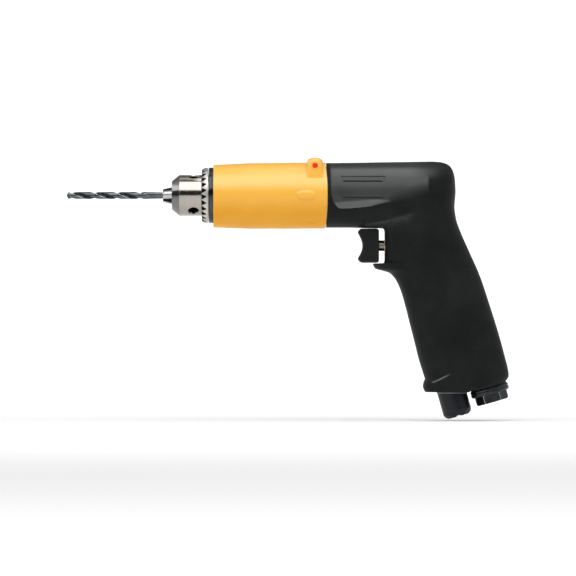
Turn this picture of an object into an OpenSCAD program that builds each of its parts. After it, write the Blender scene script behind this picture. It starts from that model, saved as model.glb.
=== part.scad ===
// Pistol-grip air drill: keyed chuck, planetary gear, vane motor and trigger valve.
// Sizes are in millimetres. The origin is the middle of the hand grip, +X runs to the rear, +Z up.

/* [Frame] */
// Height of the spindle axis above the middle of the grip
spindle_height = 58; // [56:0.5:60]
// Distance of the sleeve joint ahead of the middle of the grip
joint_lead = 65; // [63:0.5:67]
// Lean of the grip away from the vertical, in degrees
grip_lean = 16; // [14:0.5:18]

/* [Bit] */
// Diameter of the twist bit
bit_d = 4; // [3:0.1:4.4]
// Length of the bit from point to shank end
bit_len = 75; // [70:1:80]
// Length of the fluted part, with the point
flute_len = 45; // [30:1:50]
// Lead of the flutes, one full turn
flute_lead = 26; // [16:1:40]
// Included angle of the point, in degrees
point_angle = 118; // [90:1:135]

/* [Chuck] */
// Diameter of the chuck body
chuck_d = 22.8; // [21.5:0.1:23.5]
// Length of the chuck body
chuck_len = 23.9; // [23:0.1:26]
// Diameter of the flat nose
nose_d = 15.8; // [12:0.1:18]
// Length of the nose cone
nose_len = 3.6; // [2:0.1:5]
// Length of the toothed sleeve
sleeve_len = 3.6; // [3.4:0.1:4.4]
// Radial thickness of the toothed sleeve
sleeve_wall = 3.5; // [3:0.1:4.5]
// Depth of the notches between the sleeve's teeth
notch_depth = 2.2; // [1:0.1:2.6]
// Diameter of a jaw
jaw_d = 4.4; // [3.8:0.1:4.6]
// Slope of the jaws to the spindle, in degrees
jaw_slope = 15; // [14:0.5:16]
// Length of jaw in front of the nose
jaw_out = 5; // [3:0.1:7]
// Largest shank that the open jaws take
chuck_capacity = 6.5; // [5:0.1:6.8]
// Diameter of the key holes
key_hole_d = 5; // [4:0.1:5.2]

/* [Spindle and gears] */
// Diameter of the spindle in its bearings
spindle_d = 12; // [11.6:0.1:13]
// Diameter of the spindle nose in the chuck
nose_thread_d = 9.52; // [8.5:0.01:9.6]
// Radial thickness of a spindle bearing
bearing_wall = 8; // [7.6:0.1:9]
// Width of a spindle bearing
bearing_w = 8; // [6:0.5:9]
// Length of the spacer between the spindle bearings
spacer_len = 34; // [28:0.5:40]
// Tooth module of the gears
gear_module = 0.5; // [0.46:0.01:0.52]
// Face width of the planet gears
gear_w = 8; // [6:0.5:8.5]
// Thickness of the planet carrier
carrier_t = 5.2; // [4:0.1:6]
// Diameter of the planet pins
pin_d = 3; // [2.4:0.1:3.4]

/* [Motor] */
// Diameter of the rotor
rotor_d = 20; // [18:0.1:20.6]
// Length of the cylinder liner
liner_len = 30; // [26:0.5:32]
// Offset of the liner's bore from the rotor
liner_offset = 1.4; // [1:0.1:1.6]
// Least thickness of the liner
liner_wall = 2; // [1.6:0.1:2.4]
// Diameter of the rotor's journals
journal_d = 8; // [7.6:0.1:8.4]
// Radial thickness of a rotor bearing
rotor_bearing_wall = 4; // [3.6:0.1:4.2]
// Width of a rotor bearing
rotor_bearing_w = 5; // [4:0.5:6]
// Number of vanes
vane_count = 5; // [4:1:6]
// Thickness of a vane
vane_t = 1.2; // [0.8:0.1:1.6]

/* [Casing] */
// Wall of the housing round the motor
housing_wall = 3; // [2.4:0.1:4]
// Length of the housing's barrel
barrel_len = 70.5; // [69:0.5:74]
// Wall of the gear case
case_wall = 2; // [1.8:0.1:2.4]
// Length of the gear case's spigot in the housing
spigot_len = 6; // [5:0.5:8]
// Wall of the front sleeve at its rear end
sleeve_shell = 2.15; // [1.6:0.05:2.6]
// Taper of the front sleeve's radius to its front end
sleeve_taper = 0.7; // [0.2:0.1:1]
// Length of the boss on the front sleeve
boss_len = 8.1; // [6:0.1:10]
// Height of the boss above the sleeve
boss_rise = 2.6; // [1.5:0.1:4]
// Width of the boss
boss_w = 30.6; // [24:0.1:32]
// Diameter of the plugs in the boss
plug_d = 3.1; // [2:0.1:4]
// Rim of the front nut, in front of the gear case
nut_rim = 2.5; // [2:0.1:3]

/* [Grip and trigger] */
// Width of the grip
grip_w = 31; // [29:0.5:34]
// Depth of the grip from front to rear
grip_depth = 45.2; // [43:0.1:48]
// Drop of the grip's flat foot below its middle
grip_drop = 51.6; // [50:0.1:56]
// Distance of the inlet's seat down the grip
inlet_seat = 52.2; // [51:0.1:56]
// Distance of inlet and exhaust from each other
port_spacing = 20.5; // [20:0.1:22]
// Distance of the exhaust ahead of the grip's own axis
exhaust_lead = 10.5; // [10:0.1:11]
// Drop of the valve below the spindle axis
valve_drop = 27.9; // [27:0.1:29]
// Place of the trigger pocket behind the sleeve joint
pocket_place = 31.4; // [30:0.1:33]
// Height of the trigger
trigger_h = 19; // [17:0.1:20]
// Depth of the trigger from front to rear
trigger_depth = 11.9; // [10:0.1:14]
// Width of the trigger
trigger_w = 14; // [10:0.5:18]
// Travel of the trigger
trigger_travel = 2.5; // [1.5:0.1:3]
// Diameter of the trigger's plunger
plunger_d = 5.9; // [5:0.1:6.4]

/* [Valve and ports] */
// Diameter of the valve chamber
chamber_d = 13; // [12:0.1:13.6]
// Length of the valve bush
bush_len = 11.6; // [9:0.1:12]
// Thickness of the valve seat
seat_t = 3; // [2:0.1:4]
// Diameter of the poppet's head
poppet_d = 10.4; // [9:0.1:11]
// Diameter of the valve spring's wire
wire_d = 0.7; // [0.5:0.05:0.9]
// Turns of the valve spring
spring_turns = 7; // [4:1:8]
// Bore of the inlet's thread
inlet_bore_d = 11.44; // [10:0.01:12]
// Diameter of the inlet's flange
flange_d = 21.6; // [20:0.1:22.4]
// Thickness of the inlet's flange
flange_t = 5; // [3:0.1:6]
// Width across the flats of the inlet's hexagon
hex_flats = 16; // [15:0.1:18]
// Height of the inlet's hexagon
hex_h = 4.7; // [3:0.1:7]
// Diameter of the silencer
silencer_d = 16; // [14:0.1:17]
// Length of the silencer below the grip
silencer_len = 13.6; // [10:0.1:18]

/* [Hidden] */
$fn = 72;

// Clearances: pieces that are pressed together, that run on each other, and that pass each other
press_gap = 0.02;
run_gap = 0.05;
face_gap = 0.3;
far = 200;

// Tooth counts set the gear ratio, so the planets share one phase and mesh with sun and ring
sun_teeth = 12;
planet_teeth = 15;
ring_teeth = sun_teeth + 2 * planet_teeth;
pressure_angle = 25;
backlash = 0.07;
planet_count = 3;
orbit_r = gear_module * (sun_teeth + planet_teeth) / 2;
ring_rim = 2.7;

// Radii from the inside out: rotor, liner, housing, then gears, bearings, gear case and sleeve
rotor_gap = 0.2;
spigot_wall = 0.95;
rotor_r = rotor_d / 2;
liner_bore_r = rotor_r + liner_offset + rotor_gap;
liner_r = max(liner_bore_r + liner_offset + liner_wall, bearing_bore_fit() + spigot_wall);
motor_bore_r = liner_r + run_gap;
barrel_r = motor_bore_r + housing_wall;
journal_r = journal_d / 2;
rotor_bearing_r = journal_r + rotor_bearing_wall;
spindle_r = spindle_d / 2;
case_bore_r = bearing_bore_fit();
case_r = case_bore_r + case_wall;
sleeve_bore_r = case_r + 2 * run_gap;
sleeve_r = sleeve_bore_r + sleeve_shell;
sleeve_front_r = sleeve_r - sleeve_taper;
spigot_r = motor_bore_r - run_gap;

function bearing_bore_fit() =
    max(spindle_d / 2 + bearing_wall, gear_module * (ring_teeth / 2 + 1.3) + ring_rim);

// Places along the spindle, counted to the rear from the joint of sleeve and housing
gear_front = -gear_w / 2;
gear_rear = gear_w / 2;
carrier_rear = gear_front - face_gap;
carrier_front = carrier_rear - carrier_t;
shoulder_t = 0.5;
rear_bearing_at = carrier_front - shoulder_t - bearing_w;
front_bearing_at = rear_bearing_at - spacer_len - bearing_w;
seal_t = 1.8;
seal_wall = 3;
web_t = 0.7;
nut_lap = 1.1;
nut_step = 0.8;
nut_web = front_bearing_at - seal_t - web_t;
chuck_rear = nut_web - face_gap;
case_front = nut_web - nut_lap;
nut_front = case_front - nut_rim;
nut_r = case_r - nut_step;
chuck_front = chuck_rear - chuck_len;
sleeve_rear = nut_front - face_gap;
sleeve_front = sleeve_rear - sleeve_len;

// Motor places
plate_web = 1;
plate_front = spigot_len;
plate_t = rotor_bearing_w + plate_web;
liner_front = plate_front + plate_t;
liner_rear = liner_front + liner_len;
flange_plate_t = 3;
washer_t = 1;
hub_r = rotor_bearing_r + 1.2;
gallery_r = hub_r + 1.8;
bore_end = liner_rear + flange_plate_t + washer_t;
hub_end = liner_rear + plate_t;
gallery_end = hub_end + 4;
end_gap = 0.2;

// Chuck places
chuck_r = chuck_d / 2;
bit_r = bit_d / 2;
jaw_r = jaw_d / 2;
jaw_tip = chuck_front - jaw_out;
jaw_axis_r = 1.25;
jaw_travel = (chuck_capacity - bit_d) / 2 / sin(jaw_slope);
jaw_end = chuck_rear - face_gap - jaw_travel * cos(jaw_slope) - end_gap;
jaw_first_angle = 20.5;
jaw_angles = [for (k = [0 : 2]) jaw_first_angle + 120 * k];
slack = 0.15;
throat_r = chuck_capacity / 2 + slack;
nose_thread_len = 7.2;
chuck_bore_end = chuck_rear - nose_thread_len;
nut_ring_wall = 1.1;
nut_ring_r = chuck_r + nut_ring_wall;
nut_ring_w = 1.7;
nut_ring_at = sleeve_front + slack;
nut_ring_end = nut_ring_at + nut_ring_w;
jaw_top_r = jaw_axis_r + (nut_ring_end - jaw_tip) * tan(jaw_slope) + jaw_r / cos(jaw_slope);
nut_bore_r = jaw_top_r + 2 * run_gap;
nut_groove_r = nut_bore_r - slack;
sleeve_tooth_r = chuck_r + run_gap + sleeve_wall;
tooth_count = 27;
key_hole_place = 12.1;
key_hole_at = chuck_front + key_hole_place;
key_hole_floor = 5.5;
bit_point = jaw_tip - (bit_len - (chuck_bore_end - face_gap - jaw_tip));

// Grip frame: s runs down the leaning grip, b runs to its back
function grip_point(s, b) = [
    s * sin(grip_lean) + b * cos(grip_lean),
    0,
    b * sin(grip_lean) - s * cos(grip_lean)
];
inlet_b = port_spacing - exhaust_lead;
valve_z = spindle_height - valve_drop;
pocket_x = pocket_place - joint_lead;
pocket_h = trigger_h + 2 * face_gap;
pocket_corner = 2;
barrel_end_x = barrel_len - joint_lead;
silencer_s = (grip_drop - exhaust_lead * sin(grip_lean)) / cos(grip_lean);
chamber_s = (inlet_b * sin(grip_lean) - valve_z) / cos(grip_lean);
chamber_meet = grip_point(chamber_s, inlet_b)[0] + joint_lead;
passage_len = inlet_seat - chamber_s;
passage_r = 4.5;

// Valve places, counted to the rear from the joint like the spindle's
chamber_r = chamber_d / 2;
plunger_r = plunger_d / 2;
trigger_rear = pocket_place - trigger_travel - face_gap;
plunger_front = trigger_rear - 5;
bush_end = pocket_place + bush_len;
supply_r = 2.8;
supply_at = max(bush_end + supply_r + 0.6, (bore_end + gallery_end) / 2 - 0.4);
plunger_end = supply_at + 1;
seat_front = supply_at + supply_r + 0.2;
seat_rear = seat_front + seat_t;
poppet_t = 3;
poppet_front = seat_rear + 0.1;
poppet_rear = poppet_front + poppet_t;
chamber_end = max(chamber_meet + 3, poppet_rear + trigger_travel + spring_turns * wire_d + 3);
spring_r = 3.6;
thread_r = max(8, inlet_bore_d / 2 + 2);
thread_len = 12;
socket_r = silencer_d / 2 - 1.5;
socket_len = 9;
duct_r = 2.2;
duct_y = chamber_r + duct_r + 1.3;

// Frames of the spindle, the valve, the inlet and the silencer, each with its axis along local Z
module at_spindle() {
    translate([-joint_lead, 0, spindle_height]) rotate([0, 90, 0]) children();
}

module at_valve() {
    translate([-joint_lead, 0, valve_z]) rotate([0, 90, 0]) children();
}

module at_inlet() {
    translate(grip_point(inlet_seat, inlet_b)) rotate([0, 180 - grip_lean, 0]) children();
}

module at_silencer() {
    translate(grip_point(silencer_s, -exhaust_lead)) rotate([0, 180 - grip_lean, 0]) children();
}

// Cylinder or tube along local Z between two places
module tube(from, to, outer, inner = 0) {
    difference() {
        translate([0, 0, from]) cylinder(r = outer, h = to - from);
        if (inner > 0) translate([0, 0, from - 1]) cylinder(r = inner, h = to - from + 2);
    }
}

// Cylinder between two points in space
module rod(from, to, r) {
    run = to - from;
    turn = atan2(run[1], run[0]);
    tilt = acos(run[2] / norm(run));
    translate(from) rotate([0, tilt, turn]) cylinder(r = r, h = norm(run));
}

// Ring of round section about local Z
module round_ring(at, r, section) {
    translate([0, 0, at]) rotate_extrude() translate([r, 0]) circle(r = section, $fn = 32);
}

// Sizes of a ball bearing from its bore and its outside
function ball_pitch(bore, outside) = (bore + outside) / 2;
function ball_r(bore, outside) = (outside - bore) * 0.3;
function ball_count(bore, outside) = floor(PI * ball_pitch(bore, outside) / ball_r(bore, outside) / 1.35);

module bearing_outer(at, w, bore, outside) {
    land = ball_pitch(bore, outside) + ball_r(bore, outside) * 0.7;
    difference() {
        tube(at, at + w, outside - press_gap, land);
        round_ring(at + w / 2, ball_pitch(bore, outside), ball_r(bore, outside) + run_gap);
    }
}

module bearing_inner(at, w, bore, outside) {
    land = ball_pitch(bore, outside) - ball_r(bore, outside) * 0.7;
    difference() {
        tube(at, at + w, land, bore);
        round_ring(at + w / 2, ball_pitch(bore, outside), ball_r(bore, outside) + run_gap);
    }
}

module bearing_balls(at, w, bore, outside) {
    pitch = ball_pitch(bore, outside);
    count = ball_count(bore, outside);
    cage = ball_r(bore, outside) * 0.25;
    tube(at + w / 2 - cage, at + w / 2 + cage, pitch + cage, pitch - cage);
    for (k = [0 : count - 1]) {
        rotate([0, 0, 360 * k / count])
        translate([pitch, 0, at + w / 2])
        sphere(r = ball_r(bore, outside), $fn = 32);
    }
}

// Involute tooth flanks: the half angle of a tooth at a radius, and the outline of a whole gear
function involute(angle) = tan(angle) * 180 / PI - angle;

function tooth_half_angle(teeth, r, thin) =
    let (pitch_r = gear_module * teeth / 2)
    let (base_r = pitch_r * cos(pressure_angle))
    let (flank = acos(min(1, base_r / max(r, base_r))))
    90 / teeth + involute(pressure_angle) - involute(flank) - thin / pitch_r * 90 / PI;

flank_steps = 4;
function gear_outline(teeth, root_r, tip_r, thin) = [
    for (k = [0 : teeth - 1])
    for (side = [-1, 1])
    for (i = [0 : flank_steps])
    let (part = side < 0 ? i / flank_steps : 1 - i / flank_steps)
    let (r = root_r + (tip_r - root_r) * part)
    let (angle = 360 * k / teeth + side * tooth_half_angle(teeth, r, thin))
    [r * cos(angle), r * sin(angle)]
];

module gear(teeth, w) {
    pitch_r = gear_module * teeth / 2;
    linear_extrude(w)
    polygon(gear_outline(teeth, pitch_r - 1.2 * gear_module, pitch_r + 0.9 * gear_module, backlash));
}

// Outline of the housing as a fan of sections. Each has a front end, a rear end, a half width as a
// share between barrel and grip, and the power of its rounding.
function section(front, rear, share, power) = [
    front[0], front[1], rear[0], rear[1], barrel_r + (grip_w / 2 - barrel_r) * share, power
];
function barrel_section(front, rear) = section(
    [front - joint_lead, spindle_height - barrel_r], [rear - joint_lead, spindle_height + barrel_r], 0, 2
);
function flat(p) = [p[0], p[2]];
function grip_section(s, front, rear) = section(
    flat(grip_point(s, -grip_depth / 2 - front)), flat(grip_point(s, grip_depth / 2 + rear)), 1, 2.5
);
function beak(x, z) = [pocket_x + x, valve_z + z];
function heel(x, z) = [barrel_end_x + x, spindle_height + z];

grip_end = max(inlet_seat, grip_drop) + 10;
fan = [
    barrel_section(face_gap, face_gap),
    barrel_section(14, 16),
    barrel_section(24, 34),
    barrel_section(27, 50),
    section(beak(-5.4, 2), heel(-8, barrel_r), 0, 2.05),
    section(beak(-6.6, -8), heel(-2.1, barrel_r - 3), 0.05, 2.1),
    section(beak(-5.8, -12.5), heel(-0.2, 8), 0.15, 2.2),
    section(beak(-1.9, -14.4), heel(-0.3, -2), 0.3, 2.3),
    section(beak(3, -15.7), heel(0.3, -12), 0.5, 2.4),
    section(beak(6.3, -19.3), heel(3.1, -21), 0.65, 2.45),
    section(beak(8.7, -24.3), heel(8.1, -31.4), 0.8, 2.5),
    section(
        flat(grip_point(-6, 0.4 - grip_depth / 2)), flat(grip_point(-10, grip_depth / 2 - 0.6)), 0.9, 2.5
    ),
    grip_section(7, -0.2, 0.3),
    grip_section(20, 0.2, 0.8),
    grip_section(34, 0.7, 0.9),
    grip_section(46, 1.5, 0.2),
    grip_section(grip_end, 2, -1.4)
];
fan_steps = 2;
fan_sides = 36;

// Smooth curve through the fan, by cubic pieces that pass through each section
function blend(a, b, c, d, t) = (
    2 * b + (c - a) * t + (2 * a - 5 * b + 4 * c - d) * t * t + (3 * b - a - 3 * c + d) * t * t * t
) / 2;
function fan_at(i, t) = blend(
    fan[max(i - 1, 0)], fan[i], fan[min(i + 1, len(fan) - 1)], fan[min(i + 2, len(fan) - 1)], t
);
function rounded(x, power) = sign(x) * pow(abs(x), 2 / power);
function ring_points(f) = [
    for (k = [0 : fan_sides - 1])
    let (u = rounded(cos(360 * k / fan_sides), f[5]))
    let (v = rounded(sin(360 * k / fan_sides), f[5]))
    [
        (f[0] + f[2]) / 2 + (f[2] - f[0]) / 2 * u,
        f[4] * v,
        (f[1] + f[3]) / 2 + (f[3] - f[1]) / 2 * u
    ]
];

// Closed skin through rings of points, as triangles with a flat cap at each end
module skin(rings) {
    n = len(rings[0]);
    last = (len(rings) - 1) * n;
    points = [for (ring = rings) for (p = ring) p];
    sides = [
        for (i = [0 : len(rings) - 2])
        for (k = [0 : n - 1])
        let (a = i * n + k, b = i * n + (k + 1) % n)
        for (face = [[a, b, b + n], [a, b + n, a + n]])
        face
    ];
    caps = [[for (k = [n - 1 : -1 : 0]) k], [for (k = [0 : n - 1]) last + k]];
    polyhedron(points, concat(sides, caps));
}

module housing_skin() {
    skin([
        for (i = [0 : len(fan) - 2])
        for (j = [0 : i == len(fan) - 2 ? fan_steps : fan_steps - 1])
        ring_points(fan_at(i, j / fan_steps))
    ]);
}

module rounded_square(w, h, r) {
    square([w - 2 * r, h], center = true);
    square([w, h - 2 * r], center = true);
    for (x = [-1, 1], y = [-1, 1]) translate([x * (w / 2 - r), y * (h / 2 - r)]) circle(r = r);
}

module trigger_pocket() {
    depth = 60;
    translate([pocket_x - depth / 2, 0, valve_z])
    rotate([90, 0, 0])
    linear_extrude(far, center = true)
    rounded_square(depth, pocket_h, pocket_corner);
}

module housing() {
    duct_top = -joint_lead + liner_rear - 6;
    color("#26292b")
    difference() {
        housing_skin();
        trigger_pocket();
        at_spindle() tube(-1, bore_end, motor_bore_r);
        at_spindle() tube(bore_end - 1, gallery_end, gallery_r);
        at_valve() tube(pocket_place - 1, chamber_end, chamber_r);
        translate([supply_at - joint_lead, 0, valve_z]) cylinder(r = supply_r, h = valve_drop - hub_r + 1);
        at_inlet() tube(-passage_len, 0, passage_r);
        at_inlet() tube(-thread_len, 1, thread_r + run_gap);
        at_inlet() translate([-far, -far / 2, 0]) cube([far + flange_d / 2 + 2 * run_gap, far, far]);
        at_silencer() tube(-socket_len, far / 4, socket_r + run_gap);
        translate([-far / 2, -far / 2, -grip_drop - far]) cube(far);
        for (side = [-1, 1]) {
            rod(
                [duct_top, side * duct_y, spindle_height - motor_bore_r + 3],
                grip_point(silencer_s - socket_len + 1, -exhaust_lead) + [0, side * (socket_r - 1), 0],
                duct_r
            );
        }
    }
}

// Front sleeve: a tapered shell with a boss on top and oval bumps below it
boss_at = -7.2;
boss_corner = 3;
plug_drop = 4;
plug_depth = 2;
bump_len = 10;
bump_r = 2.4;
bump_rise = 0.7;
bump_at = -12.4;
rear_bow = 113;

module sleeve_boss() {
    top = sleeve_r + boss_rise;
    translate([0, 0, boss_at - boss_len / 2]) linear_extrude(boss_len) {
        translate([-top + boss_corner, -boss_w / 2]) square([top - boss_corner, boss_w]);
        translate([-top, -boss_w / 2 + boss_corner]) square([top, boss_w - 2 * boss_corner]);
        for (side = [-1, 1]) {
            translate([-top + boss_corner, side * (boss_w / 2 - boss_corner)]) circle(r = boss_corner);
        }
    }
}

module plug_places() {
    for (side = [-1, 1]) {
        translate([-(sleeve_r + boss_rise - plug_drop), side * boss_w / 2, boss_at])
        rotate([-90 * side, 0, 0])
        children();
    }
}

module sleeve_bump(angle) {
    half = bump_len / 2 - bump_r;
    rotate([0, 0, angle]) translate([sleeve_r - bump_r + bump_rise, 0, bump_at]) {
        tube(-half, half, bump_r);
        for (end = [-half, half]) translate([0, 0, end]) sphere(r = bump_r, $fn = 48);
    }
}

module front_sleeve() {
    taper_end = case_front + 20;
    color("#f5bd3c")
    at_spindle()
    difference() {
        intersection() {
            union() {
                rotate_extrude() polygon([
                    [0, case_front],
                    [sleeve_front_r, case_front],
                    [sleeve_r, taper_end],
                    [sleeve_r, 0],
                    [0, 0]
                ]);
                sleeve_boss();
                for (angle = [-90, -30, 30, 90]) sleeve_bump(angle);
            }
            translate([0, 0, -face_gap - rear_bow])
            rotate([90, 0, 0])
            cylinder(r = rear_bow, h = far, center = true, $fn = 360);
        }
        tube(case_front - 1, 1, sleeve_bore_r);
        plug_places() tube(-plug_depth, 1, plug_d / 2 + press_gap);
    }
}

module sleeve_plugs() {
    dome = 0.5;
    color("#d83a2c")
    at_spindle()
    plug_places()
    rotate_extrude() polygon([
        [0, -plug_depth],
        [plug_d / 2, -plug_depth],
        [plug_d / 2, 0],
        [plug_d / 3, dome * 0.7],
        [0, dome]
    ]);
}

module gear_case() {
    color("#8c8f92") at_spindle() difference() {
        union() {
            tube(case_front, 0, case_r);
            tube(-1, spigot_len, spigot_r);
        }
        tube(case_front - 1, spigot_len + 1, case_bore_r);
    }
}

module case_gasket() {
    color("#3b3b3b") at_spindle() tube(0, face_gap, case_r, spigot_r + run_gap);
}

module front_nut() {
    color("#3a3f45") at_spindle() difference() {
        union() {
            tube(nut_front, case_front, nut_r);
            tube(case_front - 1, front_bearing_at, case_bore_r - press_gap);
        }
        tube(nut_front - 1, nut_web, chuck_r + 2 * face_gap);
        tube(nut_web - 1, front_bearing_at + 1, spindle_r + face_gap);
        tube(nut_web + web_t, front_bearing_at + 1, spindle_r + seal_wall);
    }
}

module spindle_seal() {
    color("#1d1d1d") at_spindle()
    tube(nut_web + web_t, front_bearing_at, spindle_r + seal_wall - press_gap, spindle_r + run_gap);
}

module front_bearing_outer() {
    color("#b9bdc2") at_spindle() bearing_outer(front_bearing_at, bearing_w, spindle_r, case_bore_r);
}

module front_bearing_balls() {
    color("#d6d9dc") at_spindle() bearing_balls(front_bearing_at, bearing_w, spindle_r, case_bore_r);
}

module front_bearing_inner() {
    color("#b9bdc2") at_spindle() bearing_inner(front_bearing_at, bearing_w, spindle_r, case_bore_r);
}

module outer_spacer() {
    color("#9a9da1") at_spindle()
    tube(front_bearing_at + bearing_w, rear_bearing_at, case_bore_r - press_gap, case_bore_r - 2);
}

module inner_spacer() {
    color("#9a9da1") at_spindle()
    tube(front_bearing_at + bearing_w, rear_bearing_at, spindle_r + 1, spindle_r);
}

module rear_bearing_outer() {
    color("#b9bdc2") at_spindle() bearing_outer(rear_bearing_at, bearing_w, spindle_r, case_bore_r);
}

module rear_bearing_balls() {
    color("#d6d9dc") at_spindle() bearing_balls(rear_bearing_at, bearing_w, spindle_r, case_bore_r);
}

module rear_bearing_inner() {
    color("#b9bdc2") at_spindle() bearing_inner(rear_bearing_at, bearing_w, spindle_r, case_bore_r);
}

// Planets stand at equal angles on the carrier
planet_angles = [for (k = [0 : planet_count - 1]) 90 + 360 * k / planet_count];
module planet_places() {
    for (angle = planet_angles) rotate([0, 0, angle]) translate([orbit_r, 0, 0]) children();
}

module spindle() {
    carrier_r = case_bore_r - 1.5;
    color("#a7abb0") at_spindle() difference() {
        union() {
            tube(chuck_bore_end + face_gap, chuck_rear + 1, nose_thread_d / 2);
            tube(chuck_rear, carrier_front, spindle_r - press_gap);
            tube(carrier_front - shoulder_t, carrier_front, spindle_r + 2);
            tube(carrier_front, carrier_rear, carrier_r);
        }
        planet_places() tube(carrier_front - 1, carrier_rear + 1, pin_d / 2 + press_gap);
    }
}

module planet_pins() {
    color("#c4c7ca") at_spindle() planet_places() tube(carrier_front, gear_rear + 0.5, pin_d / 2);
}

planet_phase = 90 + 180 - 180 / planet_teeth;
module planet_gear(k) {
    color("#8a8d91") at_spindle()
    rotate([0, 0, planet_angles[k - 1]])
    translate([orbit_r, 0, gear_front])
    rotate([0, 0, planet_phase - planet_angles[k - 1]])
    difference() {
        gear(planet_teeth, gear_w);
        tube(-1, gear_w + 1, pin_d / 2 + run_gap);
    }
}

module ring_gear() {
    pitch_r = gear_module * ring_teeth / 2;
    space = gear_outline(ring_teeth, pitch_r - gear_module, pitch_r + 1.25 * gear_module, -backlash);
    color("#808488") at_spindle() difference() {
        tube(gear_front, gear_rear + 1, case_bore_r - press_gap);
        translate([0, 0, gear_front - 1])
        rotate([0, 0, 90])
        linear_extrude(gear_w + 3)
        polygon(space);
    }
}

module front_end_plate() {
    color("#9da1a5") at_spindle() difference() {
        tube(plate_front, liner_front, liner_r);
        tube(plate_front - 1, plate_front + rotor_bearing_w, rotor_bearing_r + press_gap);
        tube(plate_front, liner_front + 1, journal_r + 1.5);
    }
}

module rotor_front_bearing_outer() {
    color("#b9bdc2") at_spindle()
    bearing_outer(plate_front, rotor_bearing_w, journal_r, rotor_bearing_r);
}

module rotor_front_bearing_balls() {
    color("#d6d9dc") at_spindle()
    bearing_balls(plate_front, rotor_bearing_w, journal_r, rotor_bearing_r);
}

module rotor_front_bearing_inner() {
    color("#b9bdc2") at_spindle()
    bearing_inner(plate_front, rotor_bearing_w, journal_r, rotor_bearing_r);
}

// Rotor: slotted body, journals, collars against the bearings and the sun pinion in front
rear_bearing_place = liner_rear + plate_web;
slot_floor = journal_r + 1.1;
module vane_places() {
    for (k = [0 : vane_count - 1]) rotate([0, 0, 360 * k / vane_count]) children();
}

module rotor() {
    body_front = liner_front + end_gap;
    body_rear = liner_rear - end_gap;
    color("#7d8084") at_spindle() difference() {
        union() {
            tube(body_front, body_rear, rotor_r);
            tube(plate_front, rear_bearing_place + rotor_bearing_w, journal_r - press_gap);
            tube(plate_front + rotor_bearing_w, rear_bearing_place, journal_r + 1);
            translate([0, 0, gear_front]) gear(sun_teeth, plate_front - gear_front + 1);
        }
        vane_places()
        translate([slot_floor, -vane_t / 2 - run_gap, body_front - 1])
        cube([rotor_r, vane_t + 2 * run_gap, body_rear - body_front + 2]);
    }
}

module rotor_vanes() {
    color("#a5763f") at_spindle()
    vane_places()
    translate([slot_floor + run_gap, -vane_t / 2, liner_front + end_gap])
    cube([rotor_r - slot_floor - 3 * run_gap, vane_t, liner_len - 2 * end_gap]);
}

module cylinder_liner() {
    slot_w = 1.6;
    slot_step = 4;
    color("#8f9397") at_spindle() difference() {
        tube(liner_front, liner_rear, liner_r);
        translate([-liner_offset, 0, 0]) tube(liner_front - 1, liner_rear + 1, liner_bore_r);
        for (k = [-2 : 2]) {
            translate([2, -far / 2, (liner_front + liner_rear - slot_w) / 2 + k * slot_step])
            cube([4, far, slot_w]);
        }
        liner_pin_place() tube(liner_rear - 5, liner_rear + 1, liner_pin_r + press_gap);
    }
}

liner_pin_r = 1;
module liner_pin_place() {
    translate([(rotor_r + rotor_gap + liner_r) / 2, 0, 0]) children();
}

module liner_pin() {
    color("#c4c7ca") at_spindle()
    liner_pin_place()
    tube(liner_rear - 5, liner_rear + flange_plate_t, liner_pin_r);
}

module rear_end_plate() {
    port_r = 0.75;
    color("#9da1a5") at_spindle() difference() {
        union() {
            tube(liner_rear, liner_rear + flange_plate_t, liner_r);
            tube(liner_rear, hub_end, hub_r);
        }
        tube(rear_bearing_place, hub_end + 1, rotor_bearing_r + press_gap);
        tube(liner_rear - 1, hub_end, journal_r + 1.5);
        liner_pin_place() tube(liner_rear - 1, hub_end, liner_pin_r + press_gap);
        for (angle = [150 : 15 : 210]) {
            rotate([0, 0, angle])
            translate([hub_r + 0.9, 0, 0])
            tube(liner_rear - 1, liner_rear + flange_plate_t + 1, port_r);
        }
    }
}

module rotor_rear_bearing_outer() {
    color("#b9bdc2") at_spindle()
    bearing_outer(rear_bearing_place, rotor_bearing_w, journal_r, rotor_bearing_r);
}

module rotor_rear_bearing_balls() {
    color("#d6d9dc") at_spindle()
    bearing_balls(rear_bearing_place, rotor_bearing_w, journal_r, rotor_bearing_r);
}

module rotor_rear_bearing_inner() {
    color("#b9bdc2") at_spindle()
    bearing_inner(rear_bearing_place, rotor_bearing_w, journal_r, rotor_bearing_r);
}

module spring_washer() {
    color("#b3b6ba") at_spindle() tube(bore_end - washer_t, bore_end, liner_r - 0.3, gallery_r + 0.2);
}

// A jaw's cylinder slopes outwards to the rear from its place at the tip
module jaw_cylinder(k, r) {
    rotate([0, 0, jaw_angles[k - 1]])
    translate([jaw_axis_r, 0, jaw_tip])
    rotate([0, jaw_slope, 0])
    tube(-jaw_d, 2 * chuck_len, r);
}

module jaw(k) {
    color("#6f747a") at_spindle() difference() {
        jaw_cylinder(k, jaw_r);
        tube(jaw_tip - far, jaw_tip, far / 2);
        tube(jaw_end, jaw_end + far, far / 2);
        rotate([0, 0, jaw_angles[k - 1]])
        translate([bit_r + run_gap - far, -far / 2, jaw_tip - 1])
        cube([far, far, far]);
    }
}

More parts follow.
